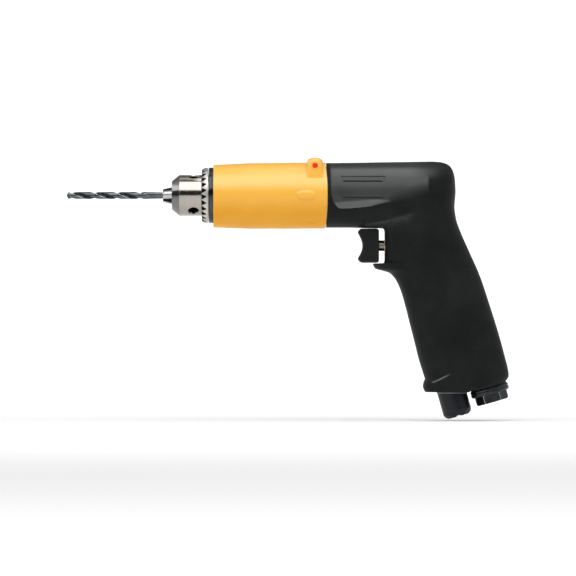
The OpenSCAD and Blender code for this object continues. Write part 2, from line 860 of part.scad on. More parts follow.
module chuck_body() {
    chamfer = 0.6;
    color("#c9ccd0") at_spindle() difference() {
        rotate_extrude() polygon([
            [0, chuck_front],
            [nose_d / 2, chuck_front],
            [chuck_r, chuck_front + nose_len],
            [chuck_r, chuck_rear - chamfer],
            [chuck_r - chamfer, chuck_rear],
            [0, chuck_rear]
        ]);
        tube(chuck_front - 1, chuck_bore_end, throat_r);
        tube(chuck_bore_end - 1, chuck_rear + 1, nose_thread_d / 2 + press_gap);
        tube(nut_ring_at - slack, nut_ring_end + slack, far / 4, nut_groove_r);
        for (k = [1 : 3]) jaw_cylinder(k, jaw_r + run_gap);
        for (k = [1 : 3]) {
            rotate([0, 90, jaw_angles[k - 1] + 60])
            translate([-key_hole_at, 0, key_hole_floor])
            cylinder(r = key_hole_d / 2, h = far / 4);
        }
    }
}

module chuck_sleeve() {
    bevel = 0.8;
    bevel_len = notch_depth * 0.7;
    notch_half = PI * sleeve_tooth_r / tooth_count * 0.8;
    notch_floor = notch_half / 4;
    notch_base = nut_ring_r + 0.8;
    color("#d2d5d8") at_spindle() difference() {
        rotate_extrude() polygon([
            [chuck_r + run_gap, sleeve_front],
            [sleeve_tooth_r - bevel, sleeve_front],
            [sleeve_tooth_r, sleeve_front + bevel_len],
            [sleeve_tooth_r, sleeve_rear],
            [chuck_r + run_gap, sleeve_rear]
        ]);
        tube(sleeve_front - 1, nut_ring_end + run_gap, nut_ring_r + press_gap);
        for (k = [0 : tooth_count - 1]) {
            rotate([0, 0, 360 * k / tooth_count])
            translate([notch_base, 0, sleeve_front])
            rotate([90, 0, 90])
            linear_extrude(sleeve_wall)
            polygon([
                [-notch_half, -1],
                [notch_half, -1],
                [notch_floor, notch_depth],
                [-notch_floor, notch_depth]
            ]);
        }
    }
}

module chuck_nut() {
    saw_cut = 0.3;
    color("#85898d") at_spindle() difference() {
        tube(nut_ring_at, nut_ring_end, nut_ring_r, nut_bore_r);
        translate([-far / 2, -saw_cut / 2, nut_ring_at - 1]) cube([far, saw_cut, nut_ring_w + 2]);
    }
}

// Fluted part of the bit: two flutes that turn along the bit, drawn in to a point at the front
flute_sides = 24;
flute_rings = 44;
flute_depth = 0.6;
flute_open = 0.55;
flute_start = 2.1;
land_relief = 0.03;
function flute_hollow(angle) = pow(max(0, (abs(cos(angle)) - flute_open) / (1 - flute_open)), 0.8);
function flute_r(angle) = (bit_r - land_relief) * (1 - flute_depth * flute_hollow(angle));
function flute_ring(place, size) = [
    for (k = [0 : flute_sides - 1])
    let (angle = -360 * k / flute_sides)
    let (turned = angle + 360 * (place - flute_start) / flute_lead)
    [size * flute_r(angle) * cos(turned), size * flute_r(angle) * sin(turned), place]
];

module drill_bit() {
    point_len = bit_r / tan(point_angle / 2);
    blunt = 0.04;
    run_out = flute_len - point_len;
    color("#5c626a") at_spindle() translate([0, 0, bit_point]) {
        skin(concat(
            [flute_ring(0, blunt)],
            [for (i = [0 : flute_rings]) flute_ring(point_len + run_out * i / flute_rings, 1)]
        ));
        tube(flute_len - bit_r, bit_len, bit_r);
    }
}

// Trigger with a hollow for the finger, on a plunger that is held by a cross pin
trigger_lip = 3;
trigger_hollow = 2.2;
trigger_corner = pocket_corner - face_gap;
trigger_pin_r = 1;
trigger_pin_at = trigger_rear - 2.6;
module trigger() {
    reach = trigger_h / 2 - trigger_lip;
    hollow_r = (reach * reach + trigger_hollow * trigger_hollow) / (2 * trigger_hollow);
    color("#2b2e31") at_valve() difference() {
        rotate([90, 0, 0]) linear_extrude(trigger_w, center = true) difference() {
            translate([0, trigger_rear - trigger_depth / 2])
            rounded_square(trigger_h, trigger_depth, trigger_corner);
            translate([0, trigger_rear - trigger_depth + trigger_hollow - hollow_r]) circle(r = hollow_r);
        }
        tube(plunger_front, trigger_rear + 1, plunger_r + press_gap);
        trigger_pin_place() cylinder(r = trigger_pin_r + press_gap, h = far, center = true);
    }
}

module trigger_pin_place() {
    translate([0, 0, trigger_pin_at]) rotate([90, 0, 0]) children();
}

module trigger_plunger() {
    color("#c2c5c8") at_valve() difference() {
        tube(plunger_front, plunger_end, plunger_r);
        trigger_pin_place() cylinder(r = trigger_pin_r + press_gap, h = far, center = true);
    }
}

module trigger_pin() {
    color("#b0b3b6") at_valve()
    trigger_pin_place()
    cylinder(r = trigger_pin_r, h = trigger_w - 0.4, center = true);
}

ring_section = 0.8;
bush_ring_at = pocket_place + bush_len * 0.6;
module valve_bush() {
    color("#b98f3e") at_valve() difference() {
        tube(pocket_place, bush_end, chamber_r - press_gap, plunger_r + run_gap);
        tube(bush_ring_at - 1, bush_ring_at + 1, far / 4, chamber_r - 2 * ring_section + press_gap);
    }
}

module bush_ring() {
    color("#1d1d1d") at_valve() round_ring(bush_ring_at, chamber_r - ring_section, ring_section - press_gap);
}

stem_r = 1.6;
module valve_seat() {
    color("#c9a24d") at_valve() tube(seat_front, seat_rear, chamber_r - press_gap, stem_r + 1.8);
}

module valve_poppet() {
    color("#7b6a3a") at_valve() {
        tube(plunger_end + 0.1, poppet_rear, stem_r);
        tube(poppet_front, poppet_rear, poppet_d / 2);
    }
}

// Valve spring: one wire wound from the poppet to the end of the chamber
wire_sides = 6;
wire_rings = 12;
module valve_spring() {
    wire_r = wire_d / 2;
    first = poppet_rear + wire_r + run_gap;
    run = chamber_end - first - wire_r - run_gap;
    count = spring_turns * wire_rings;
    color("#9fa3a7") at_valve() skin([
        for (i = [0 : count])
        let (turn = 360 * i / wire_rings)
        [
            for (k = [0 : wire_sides - 1])
            let (angle = 360 * k / wire_sides)
            let (r = spring_r + wire_r * cos(angle))
            [r * cos(turn), r * sin(turn), first + run * i / count - wire_r * sin(angle)]
        ]
    ]);
}

// Air inlet: a bushing that screws into the grip, with a flange and a hexagon outside
module inlet_bushing() {
    bead = 0.9;
    seal_h = 1;
    color("#4a4d50") at_inlet() difference() {
        union() {
            tube(-thread_len + 1, 1, thread_r);
            rotate_extrude() polygon([
                [0, seal_h],
                [flange_d / 2 - bead, seal_h],
                [flange_d / 2, seal_h + bead],
                [flange_d / 2, flange_t - bead],
                [flange_d / 2 - bead, flange_t],
                [0, flange_t]
            ]);
            translate([0, 0, flange_t - 0.5])
            cylinder(r = hex_flats / 2 / cos(30), h = hex_h + 0.5, $fn = 6);
        }
        tube(-thread_len, flange_t + hex_h + 1, inlet_bore_d / 2);
    }
}

module inlet_ring() {
    color("#1d1d1d") at_inlet() tube(0, 1, flange_d / 2 - 0.6, thread_r + run_gap);
}

// Strainer: a cup of thin wall with rows of round holes, above the bushing
module inlet_strainer() {
    cup_r = passage_r - run_gap;
    wall = 0.6;
    cup_len = 10;
    hole_r = 0.8;
    rim = -thread_len;
    color("#b8a86a") at_inlet() difference() {
        tube(rim - cup_len, rim, cup_r);
        tube(rim - cup_len + wall, rim + 1, cup_r - wall);
        for (row = [0 : 2], k = [0 : 7]) {
            rotate([0, 90, 45 * k + 22.5 * row])
            translate([cup_len - rim - 2.5 - 2.4 * row, 0, cup_r - 2 * wall])
            cylinder(r = hole_r, h = cup_r);
        }
    }
}

// Silencer: a plug in the foot of the grip, cut level under the flat foot, with felt inside
felt_r = 4.5;
module exhaust_silencer() {
    round_r = 4;
    body_r = silencer_d / 2;
    color("#2f3740") difference() {
        union() {
            at_silencer() tube(-socket_len + 1, 4, socket_r);
            difference() {
                at_silencer() {
                    tube(-4, silencer_len - round_r, body_r);
                    tube(0, silencer_len, body_r - round_r);
                    round_ring(silencer_len - round_r, body_r - round_r, round_r);
                }
                translate([-far / 2, -far / 2, -grip_drop - press_gap]) cube(far);
            }
        }
        at_silencer() tube(-socket_len, silencer_len - 2, felt_r);
    }
}

module silencer_felt() {
    color("#c9c2ae") at_silencer() tube(0, silencer_len - 2 - press_gap, felt_r - run_gap);
}

housing();
front_sleeve();
sleeve_plugs();
gear_case();
case_gasket();
front_nut();
spindle_seal();
front_bearing_outer();
front_bearing_balls();
front_bearing_inner();
outer_spacer();
inner_spacer();
rear_bearing_outer();
rear_bearing_balls();
rear_bearing_inner();
spindle();
planet_pins();
planet_gear(1);  // planet_gear_1
planet_gear(2);  // planet_gear_2
planet_gear(3);  // planet_gear_3
ring_gear();
front_end_plate();
rotor_front_bearing_outer();
rotor_front_bearing_balls();
rotor_front_bearing_inner();
rotor();
rotor_vanes();
cylinder_liner();
liner_pin();
rear_end_plate();
rotor_rear_bearing_outer();
rotor_rear_bearing_balls();
rotor_rear_bearing_inner();
spring_washer();
chuck_body();
chuck_sleeve();
chuck_nut();
jaw(1);  // jaw_1
jaw(2);  // jaw_2
jaw(3);  // jaw_3
drill_bit();
trigger();
trigger_plunger();
trigger_pin();
valve_bush();
bush_ring();
valve_seat();
valve_poppet();
valve_spring();
inlet_bushing();
inlet_ring();
inlet_strainer();
exhaust_silencer();
silencer_felt();
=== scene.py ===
import math

import bmesh
import bpy
import numpy as np
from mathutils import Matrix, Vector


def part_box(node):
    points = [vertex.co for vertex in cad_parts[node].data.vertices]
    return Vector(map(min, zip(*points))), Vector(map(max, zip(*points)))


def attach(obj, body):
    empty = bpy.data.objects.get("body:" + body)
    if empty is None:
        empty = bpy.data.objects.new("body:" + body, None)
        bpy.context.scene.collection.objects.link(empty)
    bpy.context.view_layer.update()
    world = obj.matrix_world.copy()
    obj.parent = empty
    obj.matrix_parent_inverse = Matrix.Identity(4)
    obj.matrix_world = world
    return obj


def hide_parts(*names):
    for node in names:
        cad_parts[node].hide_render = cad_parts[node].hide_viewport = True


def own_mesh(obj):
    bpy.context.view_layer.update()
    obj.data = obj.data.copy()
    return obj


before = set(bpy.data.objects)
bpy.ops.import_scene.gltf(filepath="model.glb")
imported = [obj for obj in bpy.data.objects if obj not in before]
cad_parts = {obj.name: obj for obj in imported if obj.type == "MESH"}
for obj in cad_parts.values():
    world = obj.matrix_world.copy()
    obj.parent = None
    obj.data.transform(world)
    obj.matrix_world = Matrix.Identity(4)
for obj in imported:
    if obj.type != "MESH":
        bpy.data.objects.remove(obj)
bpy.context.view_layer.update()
print("frame loaded:", len(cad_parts), "nodes")


class Values(dict):
    # a dictionary whose entries are also read with a dot
    __getattr__ = dict.__getitem__


# Shared places, in millimetres: x along the spindle counts to the rear from the sleeve joint
drill = Values(spindleHeight=58.0, jointX=-65.0, jointBow=150.0, gripLean=math.radians(16.0))
metres = 0.001
turn = 2 * math.pi
quarter = math.pi / 2
mergeWithin, flatWithin = 2e-7, 1e-8


def softStep(value):
    # 0 below 0, 1 above 1, with a smooth cubic between
    value = np.clip(value, 0, 1)
    return value * value * (3 - 2 * value)


def fadeOut(place, reach):
    # 1 ahead of the reach, 0 behind it
    return 1 - softStep((place - reach[0]) / (reach[1] - reach[0]))


def lineHeight(place, line):
    # height of a line of points at a place
    line = np.array(line)
    return np.interp(place, line[:, 0], line[:, 1])


def softLine(points, cut, steps=5, closed=False, most=0.48):
    # polyline with each corner replaced by a parabola that starts and ends `cut` away from it, or `most`
    # of the way to its neighbour where that is nearer
    points = np.asarray(points, float)
    cut = np.broadcast_to(np.asarray(cut, float), len(points))
    ends = []
    for shift in (1, -1):
        way = np.roll(points, shift, 0) - points
        reach = np.linalg.norm(way, axis=1)
        ends.append((points + way * (np.minimum(cut, reach * most) / reach)[:, None])[:, None])
    t = np.linspace(0, 1, steps)[None, :, None]
    curve = (1 - t) ** 2 * ends[0] + 2 * t * (1 - t) * points[:, None] + t ** 2 * ends[1]
    if closed:
        return curve.reshape(-1, points.shape[1])
    return np.concatenate([points[:1], curve[1:-1].reshape(-1, points.shape[1]), points[-1:]])


def evenLoop(points, count):
    # the same closed line walked in equal steps of its own length
    line = np.concatenate([points, points[:1]])
    walk = np.concatenate([[0], np.cumsum(np.linalg.norm(np.diff(line, axis=0), axis=1))])
    at = np.linspace(0, walk[-1], count, endpoint=False)
    return np.stack([np.interp(at, walk, column) for column in line.T], 1)


def smoothThrough(at, places, values, tiny=1e-9):
    # cubic through the values that never overshoots: slopes are the harmonic mean of the neighbours
    rise = np.diff(values) / np.diff(places)
    product = rise[:-1] * rise[1:]
    total = np.where(np.abs(rise[:-1] + rise[1:]) < tiny, 1.0, rise[:-1] + rise[1:])
    slope = np.concatenate([rise[:1], np.where(product > 0, 2 * product / total, 0), rise[-1:]])
    k = np.clip(np.searchsorted(places, at, side="right") - 1, 0, len(places) - 2)
    span = places[k + 1] - places[k]
    t = (at - places[k]) / span
    return ((1 + 2 * t) * (1 - t) ** 2 * values[k] + t * (1 - t) ** 2 * span * slope[k]
            + t * t * (3 - 2 * t) * values[k + 1] + t * t * (t - 1) * span * slope[k + 1])


def fullTurn(count):
    # equal angles once round, as a row
    return np.linspace(0, turn, count, endpoint=False)[None, :]


def aroundSpindle(x, radius, angle):
    # angle 0 is up and a quarter turn is +Y
    x, radius, angle = np.broadcast_arrays(x, radius, angle)
    return np.stack([x + drill.jointX, radius * np.sin(angle),
                     drill.spindleHeight + radius * np.cos(angle)], -1)


def turned(line, angle):
    # a profile of x and radius turned round the spindle
    line = np.asarray(line)
    return aroundSpindle(line[:, :1], line[:, 1:], angle)


def outFromSpindle(x, out, side, degrees):
    # `out` runs from the spindle in a direction counted from below, `side` across it
    a = math.radians(degrees)
    outward = math.atan2(math.sin(a), -math.cos(a))
    x, out, side = np.broadcast_arrays(x, out, side)
    return np.stack([x + drill.jointX, out * math.sin(outward) + side * math.cos(outward),
                     drill.spindleHeight + out * math.cos(outward) - side * math.sin(outward)], -1)


def aroundPort(start, along, radius, angle):
    # around an axis that runs down the leaning grip from `start`; angle 0 points to the rear
    along, radius, angle = np.broadcast_arrays(along, radius, angle)
    lean = drill.gripLean
    across = radius * np.cos(angle)
    return np.stack([start[0] + along * math.sin(lean) + across * math.cos(lean), radius * np.sin(angle),
                     start[1] - along * math.cos(lean) + across * math.sin(lean)], -1)


def jointBow(height):
    # the joint of sleeve and housing bows forward away from the spindle's height
    return drill.jointBow - np.sqrt(drill.jointBow ** 2 - height ** 2)


def newPiece(name, grids, marks=None, rowsClosed=False, columnsClosed=True):
    # each grid holds points[rows, columns, 3] in mm; doubles at poles merge, marks become attributes
    points, faces, first = [], [], 0
    for grid in grids:
        rows, columns = grid.shape[:2]
        i = np.arange(rows if rowsClosed else rows - 1)[:, None]
        j = np.arange(columns if columnsClosed else columns - 1)[None, :]
        i2, j2 = (i + 1) % rows, (j + 1) % columns
        corners = [i * columns + j, i2 * columns + j, i2 * columns + j2, i * columns + j2]
        faces.append(first + np.stack(corners, -1).reshape(-1, 4))
        points.append(grid.reshape(-1, 3))
        first += rows * columns
    mesh = bpy.data.meshes.new(name)
    mesh.from_pydata((np.concatenate(points) * metres).tolist(), [], np.concatenate(faces).tolist())
    for markName, values in (marks or {}).items():
        layer = mesh.attributes.new(markName, "FLOAT", "POINT")
        layer.data.foreach_set("value", np.asarray(values, np.float32).ravel())
    work = bmesh.new()
    work.from_mesh(mesh)
    bmesh.ops.remove_doubles(work, verts=work.verts, dist=mergeWithin)
    bmesh.ops.dissolve_degenerate(work, edges=work.edges, dist=flatWithin)
    bmesh.ops.recalc_face_normals(work, faces=work.faces)
    work.to_mesh(mesh)
    work.free()
    thing = bpy.data.objects.new(name, mesh)
    bpy.context.scene.collection.objects.link(thing)
    return thing


def cutAway(thing, cutters):
    # takes the cutters' volumes off a piece, then deletes the cutters
    for cutter in cutters:
        step = thing.modifiers.new("cut", "BOOLEAN")
        step.object = cutter
        step.operation = "DIFFERENCE"
        step.solver = "EXACT"
    bpy.context.view_layer.update()
    ready = thing.evaluated_get(bpy.context.evaluated_depsgraph_get())
    mesh = bpy.data.meshes.new_from_object(ready)
    thing.modifiers.clear()
    thing.data = mesh
    for cutter in cutters:
        bpy.data.objects.remove(cutter)


def markPoints(thing, markName, rule):
    # raises the mark of each point to rule(x, y, z), in mm with x along the spindle and z from it
    flat = np.empty(len(thing.data.vertices) * 3)
    thing.data.vertices.foreach_get("co", flat)
    x, y, z = flat.reshape(-1, 3).T / metres
    layer = thing.data.attributes.get(markName) or thing.data.attributes.new(markName, "FLOAT", "POINT")
    values = np.empty(len(x), np.float32)
    layer.data.foreach_get("value", values)
    raised = rule(x - drill.jointX, y, z - drill.spindleHeight)
    layer.data.foreach_set("value", np.maximum(values, raised))


def settle(thing, body, slotName, nodes, sharp=35, finish=None):
    # shading, material, and the piece's place in the frame
    thing.data.shade_smooth()
    thing.data.set_sharp_from_angle(angle=math.radians(sharp))
    thing.data.materials.clear()
    thing.data.materials.append(finishes[finish or slotName])
    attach(thing, body)
    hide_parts(*nodes)


class Wire:
    # a socket whose operators add Math nodes; make() adds any other node
    def __init__(self, tree, socket=None):
        self.tree = tree
        self.socket = socket

    def plug(self, value, socket):
        # links a wire to the socket, or sets the socket's own value
        if isinstance(value, Wire):
            self.tree.links.new(value.socket, socket)
        else:
            socket.default_value = (*value, 1.0) if socket.type == "RGBA" else value

    def make(self, kind, settings, inputs, out=0):
        node = self.tree.nodes.new(kind)
        for key, value in settings.items():
            if key == "stops":
                while len(node.color_ramp.elements) < len(value):
                    node.color_ramp.elements.new(1.0)
                for element, (place, colour) in zip(node.color_ramp.elements, value):
                    element.position = place
                    element.color = (*colour, 1.0)
            else:
                setattr(node, key, value)
        for key, value in inputs.items():
            self.plug(value, node.inputs[key])
        return Wire(self.tree, node.outputs[out])

    def math(self, operation, a, b=0.0):
        return self.make("ShaderNodeMath", {"operation": operation}, {0: a, 1: b})


# a + b, a - b, a * b and a / b, with a number on either side
for sign, kind in (("add", "ADD"), ("sub", "SUBTRACT"), ("mul", "MULTIPLY"), ("truediv", "DIVIDE")):
    setattr(Wire, f"__{sign}__", lambda self, other, kind=kind: self.math(kind, self, other))
    setattr(Wire, f"__r{sign}__", lambda self, other, kind=kind: self.math(kind, other, self))


socketNames = dict(
    colour="Base Color", rough="Roughness", metal="Metallic", normal="Normal", specular="Specular IOR Level",
    coat="Coat Weight", coatRough="Coat Roughness", coatIor="Coat IOR", glow="Emission Color",
    glowStrength="Emission Strength")


def newFinish(name):
    # an empty material: its shader node and a wire to start from
    material = bpy.data.materials.new(name)
    material.use_nodes = True
    tree = material.node_tree
    tree.nodes.clear()
    shader = tree.nodes.new("ShaderNodeBsdfPrincipled")
    output = tree.nodes.new("ShaderNodeOutputMaterial")
    tree.links.new(shader.outputs[0], output.inputs[0])
    return material, shader, Wire(tree)


def feed(wire, shader, **values):
    for key, value in values.items():
        wire.plug(value, shader.inputs[socketNames[key]])


def grey(value):
    return (value, value, value)


def objectPlace(wire):
    return wire.make("ShaderNodeTexCoord", {}, {}, out=3)


def axisOf(wire, place, axis):
    return wire.make("ShaderNodeSeparateXYZ", {}, {0: place}, out=axis)


def noise(wire, scale, detail=3.0, rough=0.55, place=None):
    return wire.make("ShaderNodeTexNoise", {}, {"Vector": place or objectPlace(wire), "Scale": scale,
                                                "Detail": detail, "Roughness": rough})


def mixColour(wire, factor, a, b):
    return wire.make("ShaderNodeMix", {"data_type": "RGBA"}, {0: factor, 6: a, 7: b}, out=2)


def ramp(wire, factor, low, high):
    # factor stretched so that low becomes 0 and high becomes 1
    return wire.make("ShaderNodeMapRange", {"interpolation_type": "SMOOTHSTEP"},
                     {"Value": factor, "From Min": low, "From Max": high})


def shades(wire, factor, low, high, a, b):
    # colour a up to the factor's low level, b from its high level on
    return mixColour(wire, ramp(wire, factor, low, high), a, b)


def bump(wire, height, strength, depth):
    return wire.make("ShaderNodeBump", {}, {"Height": height, "Strength": strength, "Distance": depth})


def mark(wire, name):
    return wire.make("ShaderNodeAttribute", {"attribute_name": name}, {}, out=2)


def mouldedPlastic(name, dark, light, rough, grain, depth, specular=0.5, paintedLight=None, paintedLightColour=None,
                   satin=None, satinAndSheenColour=None, coat=0.0, coatRough=0.3, coatIor=1.5):
    # grained moulding: cloudy colour and fine pimples; one mark of the mesh paints highlights as paler
    # edges, and another gives a smoother, paler, coated skin, partly satin finish and partly painted sheen
    material, shader, wire = newFinish(name)
    cloud = noise(wire, scale=45.0, detail=4.0)
    pimples = noise(wire, scale=grain, detail=2.0, rough=0.6)
    colour = shades(wire, cloud * 0.6 + pimples * 0.4, 0.35, 0.65, dark, light)
    roughness = cloud * 0.12 + (rough - 0.06)
    height = pimples
    if satin:
        # satin mark: a smoother, paler, coated skin, partly satin finish and partly painted sheen
        smooth = mark(wire, satin)
        colour = mixColour(wire, smooth * (0.75 + cloud * 0.3), colour, satinAndSheenColour)
        roughness = roughness - smooth * 0.1
        height = pimples * (1 - smooth * 0.75)
        coat = smooth * coat
    # painted highlights: paler colour along the marked edges
    if paintedLight:
        patchy = 0.8 + noise(wire, scale=700.0, detail=4.0) * 0.4
        colour = shades(wire, mark(wire, paintedLight) * patchy, 0.3, 1.0, colour, paintedLightColour)
    feed(wire, shader, colour=colour, rough=roughness, specular=specular, coat=coat, coatRough=coatRough,
         coatIor=coatIor, normal=bump(wire, height, strength=0.55, depth=depth))
    return material


def turnedSteel(name, dark, light, rough, lines=2600.0, depth=1e-5, shadeMarks=()):
    # lathe-turned steel: fine rings across the spindle, faint oil staining, and painted shade by mark
    material, shader, wire = newFinish(name)
    squeezed = wire.make("ShaderNodeVectorMath", {"operation": "MULTIPLY"},
                         {0: objectPlace(wire), 1: (1.0, 0.02, 0.02)})
    rings = noise(wire, scale=lines, detail=3.0, rough=0.7, place=squeezed)
    stain = noise(wire, scale=130.0, detail=5.0)
    colour = shades(wire, rings * 0.45 + stain * 0.55, 0.3, 0.7, dark, light)
    # painted shade: darker colour by mark
    for markName, shadeColour in shadeMarks:
        colour = mixColour(wire, mark(wire, markName), colour, shadeColour)
    feed(wire, shader, colour=colour, metal=1.0, rough=rings * 0.12 + stain * 0.1 + (rough - 0.11),
         normal=bump(wire, rings, strength=0.35, depth=depth))
    return material


def groundSteel(name, dark, light, rough, paintedLight, paintedLightColour):
    # ground or blackened steel: short scratches in all directions, clouds, and painted light by mark:
    # painted shade on the jaws' flanks, painted highlights on the inlet's edges
    material, shader, wire = newFinish(name)
    cloud = noise(wire, scale=220.0, detail=5.0)
    scratch = noise(wire, scale=5200.0, detail=2.0, rough=0.7)
    colour = shades(wire, cloud, 0.3, 0.7, dark, light)
    # painted light by mark: darker on the jaws' flanks, paler on the inlet's edges
    patchy = 0.6 + noise(wire, scale=900.0, detail=4.0) * 0.8
    colour = shades(wire, mark(wire, paintedLight) * patchy, 0.4, 1.0, colour, paintedLightColour)
    feed(wire, shader, colour=colour, metal=1.0, rough=cloud * 0.14 + scratch * 0.08 + (rough - 0.11),
         normal=bump(wire, scratch, strength=0.25, depth=1e-5))
    return material


def fibrous(name, dark, light, rough, scale, depth):
    # felt, laminate or rubber: matted fibres of two shades
    material, shader, wire = newFinish(name)
    fibres = noise(wire, scale=scale, detail=6.0, rough=0.75)
    feed(wire, shader, colour=shades(wire, fibres, 0.35, 0.65, dark, light),
         rough=fibres * 0.1 + (rough - 0.05), normal=bump(wire, fibres, strength=0.8, depth=depth))
    return material


def twistSteel(name, dark, light, fluteShade, marginColour):
    # oxidised bit: dark lands, painted shade in the flutes, and a thin ground margin, by the mesh's own
    # marks
    material, shader, wire = newFinish(name)
    cloud = noise(wire, scale=400.0, detail=5.0)
    scratch = noise(wire, scale=6000.0, detail=2.0)
    colour = shades(wire, cloud, 0.3, 0.7, dark, light)
    # painted shade: the flutes are darkened by the flute mark
    colour = shades(wire, mark(wire, "flute"), 0.1, 0.7, colour, fluteShade)
    ground = mark(wire, "margin") * (0.7 + cloud * 0.6)
    feed(wire, shader, colour=shades(wire, ground, 0.35, 0.9, colour, marginColour), metal=1.0,
         rough=cloud * 0.1 + 0.15, normal=bump(wire, scratch, strength=0.2, depth=1e-5))
    return material


# Colours are linear red, green and blue: the darker and the lighter shade of each finish come first
# painted shade: near black inside the key and jaw holes and on the floors of the collar's notches
hollowShade = ("hollow", (0.012, 0.012, 0.013))
finishes = {
    # housing: the edge mark paints highlights; the satin mark is a satin finish with a painted highlight
    # band
    "housing_plastic": mouldedPlastic(
        "housingPlastic", (0.0045, 0.0056, 0.0057), (0.0115, 0.0136, 0.0138), rough=0.55, grain=2600.0,
        depth=9e-5, specular=0.12, paintedLight="edge", paintedLightColour=(0.15, 0.156, 0.154), satin="satin",
        satinAndSheenColour=(0.056, 0.062, 0.061), coat=0.8, coatRough=0.34),
    # yellow: the paler, glossier colour on the upper half is painted sheen from light above
    "yellow_plastic": mouldedPlastic(
        "yellowPlastic", (0.81, 0.355, 0.015), (0.85, 0.39, 0.023), rough=0.45, grain=1500.0, depth=2e-5,
        specular=0.3, satin="rubbed", satinAndSheenColour=(0.92, 0.47, 0.02), coat=1.0, coatRough=0.42, coatIor=1.8),
    "red_plastic": mouldedPlastic(
        "redPlastic", (0.72, 0.018, 0.004), (0.82, 0.03, 0.007), rough=0.3, grain=2500.0, depth=2e-5,
        specular=0.3),
    # trigger and silencer: the edge mark paints highlights on their edges
    "trigger_plastic": mouldedPlastic(
        "triggerPlastic", (0.005, 0.0056, 0.006), (0.008, 0.0088, 0.0092), rough=0.45, grain=2600.0,
        depth=4e-5, specular=0.22, paintedLight="edge", paintedLightColour=(0.06, 0.065, 0.067)),
    "silencer_plastic": mouldedPlastic(
        "silencerPlastic", (0.0058, 0.008, 0.012), (0.01, 0.0135, 0.019), rough=0.36, grain=2200.0,
        depth=4e-5, specular=0.3, paintedLight="edge", paintedLightColour=(0.2, 0.215, 0.22)),
    "blued_steel": turnedSteel("bluedNut", (0.03, 0.034, 0.038), (0.085, 0.093, 0.1), rough=0.2),
    "plunger": turnedSteel("plungerSteel", (0.2, 0.165, 0.135), (0.34, 0.29, 0.245), rough=0.3),
    "dark_steel": twistSteel("twistBit", (0.075, 0.088, 0.092), (0.15, 0.17, 0.175),
                             fluteShade=(0.02, 0.024, 0.026), marginColour=(0.62, 0.65, 0.66)),
    # chuck: painted shade darkens the nose cone and the insides of its holes
    "chuck_steel": turnedSteel("chuckSteel", (0.395, 0.367, 0.332), (0.46, 0.425, 0.387), rough=0.15,
                               shadeMarks=[("nose", (0.21, 0.21, 0.205)), hollowShade]),
    "collar_steel": turnedSteel("collarSteel", (0.52, 0.5, 0.48), (0.62, 0.6, 0.58), rough=0.44,
                                shadeMarks=[hollowShade]),
    # jaws: painted shade darkens the flanks that face the neighbouring jaws
    "jaw_steel": groundSteel("jawSteel", (0.5, 0.49, 0.48), (0.66, 0.65, 0.64), rough=0.28,
                             paintedLight="flank", paintedLightColour=(0.02, 0.02, 0.021)),
    # inlet: the edge mark paints highlights on corners and rims
    "inlet_steel": groundSteel("inletSteel", (0.022, 0.025, 0.028), (0.055, 0.06, 0.065), rough=0.36,
                               paintedLight="edge", paintedLightColour=(0.4, 0.42, 0.43)),
    "felt": fibrous("exhaustFelt", (0.45, 0.42, 0.34), (0.68, 0.64, 0.54), rough=0.95, scale=2400.0,
                    depth=2e-4),
    "vane_laminate": fibrous("vaneLaminate", (0.24, 0.13, 0.05), (0.42, 0.25, 0.1), rough=0.6, scale=1500.0,
                             depth=5e-5),
    "brass": turnedSteel("valveBrass", (0.62, 0.42, 0.16), (0.78, 0.56, 0.26), rough=0.3, lines=2200.0),
    "case_alloy": turnedSteel("caseAlloy", (0.42, 0.43, 0.44), (0.58, 0.59, 0.6), rough=0.38, lines=1800.0,
                              depth=2e-5),
    "rubber": fibrous("sealRubber", (0.012, 0.012, 0.013), (0.022, 0.022, 0.024), rough=0.7, scale=2500.0,
                      depth=4e-5),
    "inner_steel": turnedSteel("innerSteel", (0.45, 0.46, 0.48), (0.6, 0.61, 0.63), rough=0.3, lines=2400.0),
}
print("finishes made:", len(finishes))


